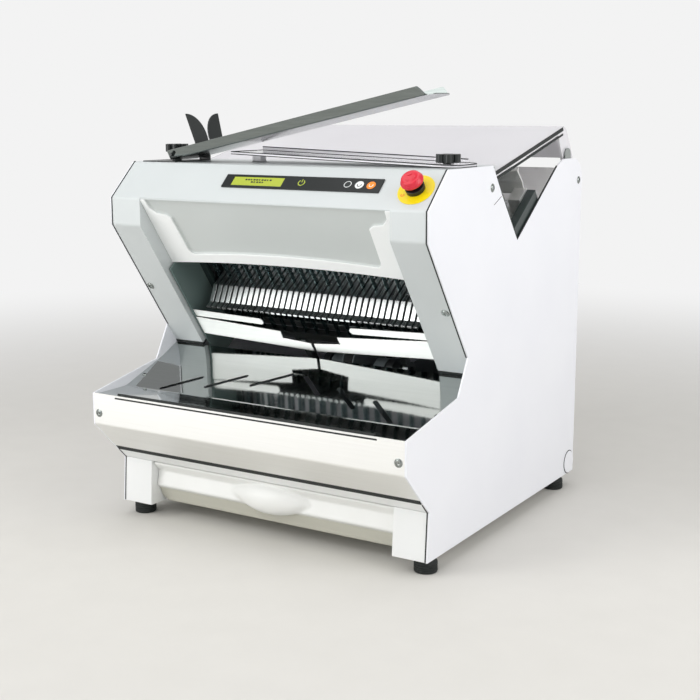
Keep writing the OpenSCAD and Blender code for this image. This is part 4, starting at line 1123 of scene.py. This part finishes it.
@dataclass
class BladeChamber(SubAssembly):
    """Bread bed with its bars, the cheeks and guides, and the two blade frames with their toothed blades."""

    bed_round: Rounding = Rounding(sharp_deg=12.0)
    plate_round: Rounding = Rounding(edge_mm=0.6)
    frame_round: Rounding = Rounding(edge_mm=0.8)
    chute_at_mm: Pair = (-157.18, 372.71)
    slice_mm: float = 12.4
    bars: int = 37
    blade_t_mm: float = 0.6
    low_mm: float = -114.0
    high_mm: float = 170.0
    tooth_mm: float = 9.0
    tooth_depth_mm: float = 2.0

    def in_chute(self) -> Matrix:
        """Frame of the chute, with Y up the bed and Z over it."""
        at = Matrix.Translation((0.0, self.chute_at_mm[0] * MM, self.chute_at_mm[1] * MM))
        return at @ Matrix.Rotation(math.radians(PITCH_DEG), 4, "X")

    def build(self) -> None:
        """Finish the bed and the frames, and cut the blades."""
        self.carry(self.bed_round, "bread_bed")
        self.carry(self.plate_round, "cheek_left", "cheek_right", "pusher_rails")
        self.carry(self.frame_round, "cheek_spacers", "blade_guides", "front_blade_frame", "rear_blade_frame")
        for first, node in enumerate(("front_blades", "rear_blades")):
            self.blades(node, first)

    def blades(self, node: str, first: int) -> None:
        """Cut one toothed blade, repeat it across its frame and set the row in the chute.

        Args:
            node: Node of the blade set.
            first: Number of the first gap that has a blade.
        """
        back = self.in_chute().inverted()
        runs = [(back @ v.co).y / MM for v in frame["nodes"][node].data.vertices]
        middle, width = (min(runs) + max(runs)) / 2.0, max(runs) - min(runs)
        height = self.high_mm - self.low_mm
        half_teeth = 2 * int(height / self.tooth_mm)
        x_first = (first - self.bars / 2.0) * self.slice_mm
        clear()
        bpy.ops.mesh.primitive_grid_add(x_subdivisions=2, y_subdivisions=half_teeth, size=1.0)
        blade = named(f"{node}_toothed")
        for v in blade.data.vertices:
            # The grid runs from -0.5 to 0.5, and every other corner of its rear column is a tooth's root.
            across, up = v.co.x, v.co.y + 0.5
            run = middle + across * width
            if across > 0.25 and round(up * half_teeth) % 2 == 1:
                run -= self.tooth_depth_mm
            v.co = Vector((x_first, run, self.low_mm + up * height)) * MM
        face_outwards(blade)
        thicken(blade, self.blade_t_mm)
        row = blade.modifiers.new("row", "ARRAY")
        row.use_relative_offset = False
        row.use_constant_offset = True
        row.constant_offset_displace = (2.0 * self.slice_mm * MM, 0.0, 0.0)
        row.count = len(range(first, self.bars + 1, 2))
        bpy.ops.object.modifier_apply(modifier=row.name)
        put(blade, self.in_chute())
        self.stand_in(blade, node)


@dataclass
class Feeding(SubAssembly):
    """Pusher, the drive below it, the control box and the cable gland."""

    pusher_round: Rounding = Rounding(fold_mm=2.5, edge_mm=0.6)
    drive_round: Rounding = Rounding(edge_mm=0.8)
    box_round: Rounding = Rounding(edge_mm=2.5, steps=3)
    gland_round: Rounding = Rounding(edge_mm=0.8, steps=3)

    def build(self) -> None:
        """Finish the pusher, the drive, the control box and the cable gland."""
        self.carry(self.pusher_round, "pusher_plate")
        self.carry(self.drive_round, "front_rod", "rear_rod", "crankshaft", "crank_pulley", "motor_pulley",
                   "bearing_stands", "motor", "motor_feet")
        self.carry(self.box_round, "control_box")
        self.carry(self.gland_round, "cable_gland")
        self.dress("drive_belt")


@dataclass
class Drawer(SubAssembly):
    """Crumb drawer: moulded front with a hollow upper face, a rail and an egg-shaped grip, and a thin bin."""

    half_mm: float = 256.8
    grip_y_mm: float = -247.0
    grip_z_mm: float = 79.0
    grip_r_mm: float = 31.0
    grip_half_mm: float = 92.0
    # Part of the side view, as shares of its length, that the grip can swell out of.
    grip_shares: Pair = (0.22, 0.96)
    blend_mm: float = 8.0
    wall_mm: float = 2.5
    corner_mm: Pair = (18.0, 11.0)
    bin_low_mm: Triple = (-244.0, -241.0, 36.0)
    bin_high_mm: Triple = (244.0, 60.0, 103.0)
    bin_round: Rounding = Rounding(edge_mm=0.8, steps=3)
    rim_mm: float = 10.0
    columns: int = 150
    rows: int = 84
    easing: float = 0.5
    easing_rounds: int = 2
    smooth_deg: float = 45.0
    # Number of the point under the rail, where the foot starts.
    rail_point: int = 16
    shade_lap_mm: float = 1.0
    shade_blend_mm: float = 4.0
    profile_mm: tuple[Pair, ...] = (
        (-240.0, 110.0), (-254.0, 110.0), (-263.6, 109.8), (-265.8, 108.2), (-264.6, 105.2), (-260.2, 100.2),
        (-255.6, 96.0), (-252.9, 93.2), (-251.6, 91.2), (-251.7, 89.2), (-252.6, 86.0), (-254.6, 78.0),
        (-256.4, 70.5), (-257.5, 66.4), (-257.4, 63.4), (-255.2, 61.0), (-251.6, 58.6), (-249.6, 56.2),
        (-248.4, 53.0), (-244.4, 42.0), (-240.4, 31.4), (-239.6, 30.2), (-237.0, 30.2))

    def at_share(self, share: float) -> Pair:
        """Point of the front's side view at a share of its length.

        Args:
            share: Zero at the top edge, one at the bottom edge.

        Returns:
            Depth and height in millimetres.
        """
        pairs = list(zip(self.profile_mm, self.profile_mm[1:]))
        left = share * sum(math.dist(a, b) for a, b in pairs)
        for a, b in pairs:
            step = math.dist(a, b)
            if left <= step:
                t = left / step
                return (a[0] + t * (b[0] - a[0]), a[1] + t * (b[1] - a[1]))
            left -= step
        return self.profile_mm[-1]

    def swollen(self, x: float, y: float, z: float) -> float:
        """Depth of the front where the grip swells out of it, blended with a soft fillet.

        Args:
            x: Place across, in millimetres.
            y: Depth of the plain front there.
            z: Height there.

        Returns:
            The depth with the grip.
        """
        ball = (self.grip_half_mm ** 2 + self.grip_r_mm ** 2) / (2.0 * self.grip_r_mm)
        reach = math.sqrt(max(ball ** 2 - x * x, 0.0)) - (ball - self.grip_r_mm)
        off = z - self.grip_z_mm
        inside = reach * abs(reach) - off * off
        out = -self.grip_y_mm + (math.sqrt(inside) if inside > 0.0 else -math.sqrt(-inside))
        plain = -y
        mix = clamp(0.5 + 0.5 * (out - plain) / self.blend_mm)
        return -(plain + (out - plain) * mix + self.blend_mm * 0.5 * mix * (1.0 - mix))

    def build(self) -> None:
        """Mould the front, form the bin and join them."""
        drawer = joined("drawer_moulding", [self.front(), self.tub()])
        bpy.ops.object.shade_smooth_by_angle(angle=math.radians(self.smooth_deg))
        # Painted shade: the front's foot takes the darker second tone.
        mark_painted_shading(drawer, self.shaded_foot_share)
        self.stand_in(drawer, "crumb_drawer")

    def shaded_foot_share(self, at: Vector) -> float:
        """Share of the darker tone, painted shade that lies on the front's flat foot, under the rail and
        beside the grip.

        Args:
            at: Point of the drawer, in metres.

        Returns:
            One on the foot and none elsewhere, with a soft change under the rail and the grip.
        """
        (rail_y, rail_z), (foot_y, foot_z) = self.profile_mm[self.rail_point], self.profile_mm[-2]
        y, z = at.y / MM, at.z / MM
        if y > foot_y + self.wall_mm:
            return 0.0
        plain = foot_y + (z - foot_z) * (rail_y - foot_y) / (rail_z - foot_z)
        below = clamp((rail_z + self.shade_lap_mm - z) / self.shade_blend_mm)
        return below * (1.0 - clamp((plain - y - self.shade_lap_mm) / self.shade_blend_mm))

    def front(self) -> Piece:
        """Grid laid along the front's side view, swollen to the grip, cut at the corners and given its wall.

        Returns:
            The front.
        """
        clear()
        bpy.ops.mesh.primitive_grid_add(x_subdivisions=self.columns, y_subdivisions=self.rows, size=1.0)
        front = named("front")
        for v in front.data.vertices:
            x, share = v.co.x * 2.0 * self.half_mm, 0.5 - v.co.y
            y, z = self.at_share(share)
            if self.grip_shares[0] < share < self.grip_shares[1]:
                y = self.swollen(x, y, z)
            v.co = Vector((x, y, z)) * MM
        wide, high = self.corner_mm
        corner_z = (self.profile_mm[-1][1] + high) * MM
        for side, _ in SIDES:
            enter(front)
            bpy.ops.mesh.bisect(plane_co=(side * self.half_mm * MM, 0.0, corner_z),
                                plane_no=(side * high, 0.0, -wide), clear_outer=True)
        take(front)
        smooth = front.modifiers.new("easing", "SMOOTH")
        smooth.factor = self.easing
        smooth.iterations = self.easing_rounds
        smooth.use_x = False
        bpy.ops.object.modifier_apply(modifier=smooth.name)
        thicken(front, self.wall_mm, offset=-1.0)
        return front

    def tub(self) -> Piece:
        """Open bin with a flange along each side.

        Returns:
            The bin.
        """
        tub = block("bin", self.bin_low_mm, self.bin_high_mm)
        rim = (self.bin_high_mm[2] - self.wall_mm) * MM
        pick_faces(tub, lambda f: f.normal.z > 0.5)
        bpy.ops.mesh.delete(type="FACE")
        for side, _ in SIDES:
            pick_edges(tub, lambda e: all(v.co.z > rim and v.co.x * side > 0.0 for v in e.verts))
            extrude_edges(side * self.rim_mm, 0.0, 0.0)
        face_outwards(tub)
        thicken(tub, self.wall_mm, offset=-1.0)
        self.bin_round.soften(tub)
        return tub


@dataclass
class BagTable(SubAssembly):
    """Lid, clear strip and bagging scoop on top of the machine, with their hinges, horns and knobs."""

    sheet_round: Rounding = Rounding(edge_mm=0.7, steps=3)
    hinge_round: Rounding = Rounding(edge_mm=0.8, steps=3)
    bracket_round: Rounding = Rounding(edge_mm=0.6)
    scoop_round: Rounding = Rounding(fold_mm=3.0, edge_mm=0.4)
    horn_round: Rounding = Rounding(edge_mm=0.9, steps=3)
    horn_rake: float = 0.2
    knob_round: Rounding = Rounding(edge_mm=1.5, steps=4)
    knob_inset_mm: float = 7.0
    knob_hollow_mm: float = 1.6
    knob_crown_mm: float = 0.1
    trim: Band = Band((316.4, 318.3), ((-29.0, 645.4), (264.0, 714.7)), 7.6)
    trim_line: Band = Band((316.4, 318.3), ((-29.0, 635.2), (264.0, 704.5)), 4.4)
    shade_line_wall_mm: float = 0.85
    # Least bend of an edge of the clear strip that has a line, and greatest rise as a share of its length.
    edge_deg: float = 60.0
    edge_rise: float = 0.5

    def build(self) -> None:
        """Finish the pieces on top of the machine."""
        self.carry(self.sheet_round, "lid", "base_strip")
        self.strip_shade_lines()
        self.carry(self.hinge_round, "lid_hinges")
        bracket = self.copied("scoop_bracket")
        self.bracket_round.soften(bracket)
        self.fit(bracket, "black_plastic", "scoop_bracket")
        self.carry(self.scoop_round, "scoop")
        self.horns()
        for _, hand in SIDES:
            self.knob(f"knob_{hand}")
        self.trims()

    def horns(self) -> None:
        """Upright horns, the rear one raked towards the left."""
        horns = self.copied("scoop_horns")
        low = min(v.co.z for v in horns.data.vertices)
        middle = sum(v.co.y for v in horns.data.vertices) / len(horns.data.vertices)
        for v in horns.data.vertices:
            if v.co.y > middle:
                v.co.x -= self.horn_rake * (v.co.z - low)
        self.horn_round.soften(horns)
        self.stand_in(horns, "scoop_horns")

    def has_no_line(self, edge: bmesh.types.BMEdge) -> bool:
        """Whether an edge of the clear strip lies in a flat face or stands upright."""
        rise = abs(edge.verts[0].co.z - edge.verts[1].co.z)
        return bend_of(edge) < self.edge_deg or rise > self.edge_rise * edge.calc_length()

    def strip_shade_lines(self) -> None:
        """Painted shade: black lines along the long edges of the clear strip, for the dark look of its edges
        where light leaves the sheet and the shadow under them.
        """
        lines = self.copied("base_strip")
        pick_edges(lines, self.has_no_line)
        bpy.ops.mesh.delete(type="EDGE")
        enter(lines)
        bpy.ops.mesh.delete(type="ONLY_FACE")
        take(lines)
        bpy.ops.object.convert(target="CURVE")
        lines.data.bevel_depth = self.shade_line_wall_mm * MM
        lines.data.bevel_resolution = 1
        lines.data.use_fill_caps = True
        bpy.ops.object.convert(target="MESH")
        self.rubber(named("base_strip_shade_lines"), self.book.body_of["base_strip"])

    def trims(self) -> None:
        """Black edge trim and a thin line below it along each side of the lid."""
        for side, hand in SIDES:
            pieces = [self.trim.lay("trim", side), self.trim_line.lay("line", side)]
            self.rubber(joined(f"lid_trim_{hand}", pieces), "lid_body")

    def knob(self, node: str) -> None:
        """Lobed knob with rounded lobes and a hollow in its crown.

        Args:
            node: Node that it stands for.
        """
        knob = self.copied(node)
        crown = max(v.co.z for v in knob.data.vertices) - self.knob_crown_mm * MM
        pick_faces(knob, lambda f: f.normal.z > 0.9 and f.calc_center_median().z > crown)
        bpy.ops.mesh.inset(thickness=self.knob_inset_mm * MM, depth=0.0)
        extrude(0.0, 0.0, -self.knob_hollow_mm)
        self.knob_round.soften(knob)
        self.stand_in(knob, node)


@dataclass
class Fixings(SubAssembly):
    """Feet and cover screws."""

    foot_at_mm: tuple[Pair, ...] = ((-303.0, -240.0), (303.0, -240.0), (-303.0, 300.0), (303.0, 300.0))
    foot_r_mm: float = 20.0
    foot_h_mm: float = 28.0
    # Rings of a foot as shares of its radius, with heights in millimetres on the sole and in a groove.
    sole_rings: tuple[Pair, ...] = ((0.88, 0.0), (0.97, 0.8), (1.0, 2.4))
    groove_rings: tuple[Pair, ...] = ((1.0, 2.0), (0.955, 2.6), (0.955, 3.4), (1.0, 4.0))
    # Where the grooves are and the rings above them, with heights as shares of the foot's height.
    groove_shares: Triple = (0.14, 0.29, 0.44)
    neck_shares: tuple[Pair, ...] = ((1.0, 0.62), (0.97, 0.68), (0.84, 0.76), (0.8, 0.84), (0.8, 1.0))
    head_r_mm: float = 7.5
    head_h_mm: float = 2.4
    screw_sides: int = 36
    # Rings of a screw as shares of its radius: one under its seat, in millimetres, then those of its head,
    # as shares of its height, and those of its socket, in millimetres down from the top.
    seat_ring: Pair = (0.9, -0.2)
    head_shares: tuple[Pair, ...] = ((1.0, 0.0), (0.995, 0.3), (0.95, 0.4), (0.8, 0.46), (0.76, 0.6),
                                      (0.68, 0.86), (0.58, 1.0), (0.5, 1.0))
    socket_rings: tuple[Pair, ...] = ((0.49, 3.6), (0.2, 3.7))
    socket_share: float = 0.53

    def build(self) -> None:
        """Turn one foot and one screw and set their copies."""
        self.feet()
        self.screws()

    def feet(self) -> None:
        """Grooved rubber feet."""
        r, h = self.foot_r_mm, self.foot_h_mm
        rings = [(r * wide, up) for wide, up in self.sole_rings]
        for low in self.groove_shares:
            rings += [(r * wide, h * low + up) for wide, up in self.groove_rings]
        rings += [(r * wide, h * up) for wide, up in self.neck_shares]
        first = turned("rubber_feet", rings)
        copies = [put(twin(first, "foot"), Matrix.Translation((x * MM, y * MM, 0.0)))
                  for x, y in self.foot_at_mm]
        bpy.data.objects.remove(first)
        feet = joined("rubber_feet", copies)
        SHADED_ONLY.soften(feet)
        self.stand_in(feet, "feet")

    def screw(self) -> Piece:
        """Button head with a six-sided socket, its seat at zero height.

        Returns:
            One screw about Z.
        """
        r, h = self.head_r_mm, self.head_h_mm
        rings = [(r * self.seat_ring[0], self.seat_ring[1])]
        rings += [(r * wide, h * up) for wide, up in self.head_shares]
        rings += [(r * wide, h - down) for wide, down in self.socket_rings]
        head = turned("cover_screw", rings, self.screw_sides)
        for v in head.data.vertices:
            if v.co.xy.length < self.socket_share * r * MM:
                angle = math.atan2(v.co.y, v.co.x) % (math.pi / 3.0) - math.pi / 6.0
                v.co.xy *= math.cos(math.pi / 6.0) / math.cos(angle)
        return head

    def seat_on(self, crown: bmesh.types.BMFace) -> Matrix:
        """Place and size of a screw whose top is a given face.

        Args:
            crown: Top face of a plain head.

        Returns:
            The place as a matrix in metres.
        """
        turn = Vector((0.0, 0.0, 1.0)).rotation_difference(crown.normal).to_matrix().to_4x4()
        middle = sum((v.co for v in crown.verts), Vector()) / len(crown.verts)
        size = max((v.co - middle).length for v in crown.verts) / (self.head_r_mm * MM)
        seat = middle - crown.normal * self.head_h_mm * MM
        return Matrix.Translation(seat) @ turn @ Matrix.Diagonal((size, size, 1.0, 1.0))

    def screws(self) -> None:
        """Set a screw on every head of the node, facing the way that head faces."""
        node = self.copied("cover_screws")
        mesh = bmesh.new()
        mesh.from_mesh(node.data)
        seen, copies, model = set(), [], self.screw()
        for start in mesh.verts:
            if start in seen:
                continue
            head, waiting = set(), [start]
            while waiting:
                v = waiting.pop()
                if v not in head:
                    head.add(v)
                    waiting.extend(e.other_vert(v) for e in v.link_edges)
            seen |= head
            crown = max((f for v in head for f in v.link_faces), key=lambda f: f.calc_area())
            copies.append(put(twin(model, "screw"), self.seat_on(crown)))
        mesh.free()
        bpy.data.objects.remove(model)
        bpy.data.objects.remove(node)
        screws = joined("socket_screws", copies)
        SHADED_ONLY.soften(screws)
        self.stand_in(screws, "cover_screws")


@dataclass(frozen=True)
class Softbox:
    """Flat soft light: where it stands, what it faces, how large it is and its power."""

    name: str
    at_m: Triple
    aim_m: Triple
    size_m: Pair
    watts: float

    def hang(self) -> None:
        """Add the light to the scene."""
        clear()
        bpy.ops.object.light_add(type="AREA", location=self.at_m)
        lamp = named(self.name)
        lamp.data.shape = "RECTANGLE"
        lamp.data.size, lamp.data.size_y = self.size_m
        lamp.data.energy = self.watts
        aim = Vector(self.aim_m) - Vector(self.at_m)
        lamp.rotation_euler = aim.to_track_quat("-Z", "Y").to_euler()


@dataclass(frozen=True)
class StudioPaper:
    """Matt paper that runs out into an evenly lit sweep, so that no horizon shows."""

    colour: str = "#DBD9D4"
    shade: str = "#D6D4CF"
    sweep: str = "#F3F3F3"
    far: str = "#000000"
    fibre_mm: float = 1000.0 / 14.0
    fibre_layers: float = 3.0
    roughness: float = 0.95
    # Where the paper starts to give way to the lit sweep, and where the sweep has taken over.
    sweep_m: Pair = (0.6, 3.2)

    def make(self) -> bpy.types.Material:
        """Build the material.

        Returns:
            The finished material.
        """
        tree = MaterialTree("studio_paper")
        tone = tree.tones(tree.noise(self.fibre_mm, self.fibre_layers), self.colour, self.shade)
        reach = tree.add("ShaderNodeVectorMath", {0: tree.place}, operation="LENGTH").outputs["Value"]
        away = tree.spread(reach, self.sweep_m, (0.0, 1.0), interpolation_type="SMOOTHSTEP")
        return tree.finished({"Base Color": tree.mixed(away, tone, hex_linear(self.far)),
                              "Emission Color": hex_linear(self.sweep), "Emission Strength": away,
                              "Roughness": self.roughness, "Specular IOR Level": 0.0})


@dataclass
class Studio:
    """Pale floor, soft light and the camera."""

    lens_mm: float = 63.86
    sensor_mm: float = 36.0
    clip_m: float = 200.0
    camera_m: Triple = (1.2248, -1.9668, 0.7560)
    turn_deg: Triple = (78.93, 0.14, 31.72)
    floor_m: float = 60.0
    floor_sides: int = 64
    white: str = "#FFFFFF"
    # Brightness of the surround at the horizon and above, and the heights between which it dims.
    surround: Pair = (0.896, 0.3)
    dims: Pair = (0.12, 0.6)
    softboxes: tuple[Softbox, ...] = (
        Softbox("front_softbox", (-1.5, -2.35, 1.7), (0.0, -0.1, 0.4), (1.5, 3.2), 49.0),
        Softbox("camera_softbox", (0.6, -2.7, 2.3), (0.0, -0.2, 0.35), (1.4, 1.0), 11.0),
        Softbox("side_softbox", (2.6, -0.4, 1.6), (0.2, 0.0, 0.3), (2.0, 2.0), 32.0),
        Softbox("top_softbox", (0.0, 0.0, 3.0), (0.0, 0.0, 0.3), (2.5, 2.5), 31.0))

    def build(self) -> None:
        """Set up the floor, the lights and the camera."""
        self.floor()
        self.sky()
        for softbox in self.softboxes:
            softbox.hang()
        self.camera()

    def floor(self) -> None:
        """Wide pale disc under the machine."""
        clear()
        bpy.ops.mesh.primitive_circle_add(vertices=self.floor_sides, radius=self.floor_m, fill_type="NGON")
        floor = named("studio_floor")
        floor.data.materials.append(StudioPaper().make())

    def sky(self) -> None:
        """White surround that is brightest at the horizon and dims towards the top."""
        world = bpy.data.worlds.new("studio_surround")
        bpy.context.scene.world = world
        world.use_nodes = True
        tree = world.node_tree
        tree.nodes.clear()
        way = add_node(tree, "ShaderNodeTexCoord").outputs["Generated"]
        height = add_node(tree, "ShaderNodeSeparateXYZ", {"Vector": way}).outputs["Z"]
        sockets = {"Value": height, "From Min": self.dims[0], "From Max": self.dims[1],
                   "To Min": self.surround[0], "To Max": self.surround[1]}
        light = add_node(tree, "ShaderNodeMapRange", sockets).outputs["Result"]
        glow = add_node(tree, "ShaderNodeBackground", {"Color": hex_linear(self.white), "Strength": light})
        add_node(tree, "ShaderNodeOutputWorld", {"Surface": glow.outputs["Background"]})

    def camera(self) -> None:
        """Camera at the photograph's place."""
        clear()
        bpy.ops.object.camera_add(location=self.camera_m,
                                  rotation=Euler([math.radians(a) for a in self.turn_deg]))
        camera = named("studio_camera")
        camera.data.lens = self.lens_mm
        camera.data.sensor_width = self.sensor_mm
        camera.data.clip_end = self.clip_m
        bpy.context.scene.camera = camera
        bpy.context.scene.view_settings.view_transform = "Standard"


def main() -> None:
    """Build the studio and every sub-assembly."""
    logging.basicConfig(level=logging.INFO, format="%(message)s")
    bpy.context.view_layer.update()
    Studio().build()
    book = FinishBook()
    for maker in (Shell, ControlStrip, StopButton, Outlet, BladeChamber, Feeding, Drawer, BagTable, Fixings):
        maker(book).build()
    clear()


if __name__ == "__main__":
    main()
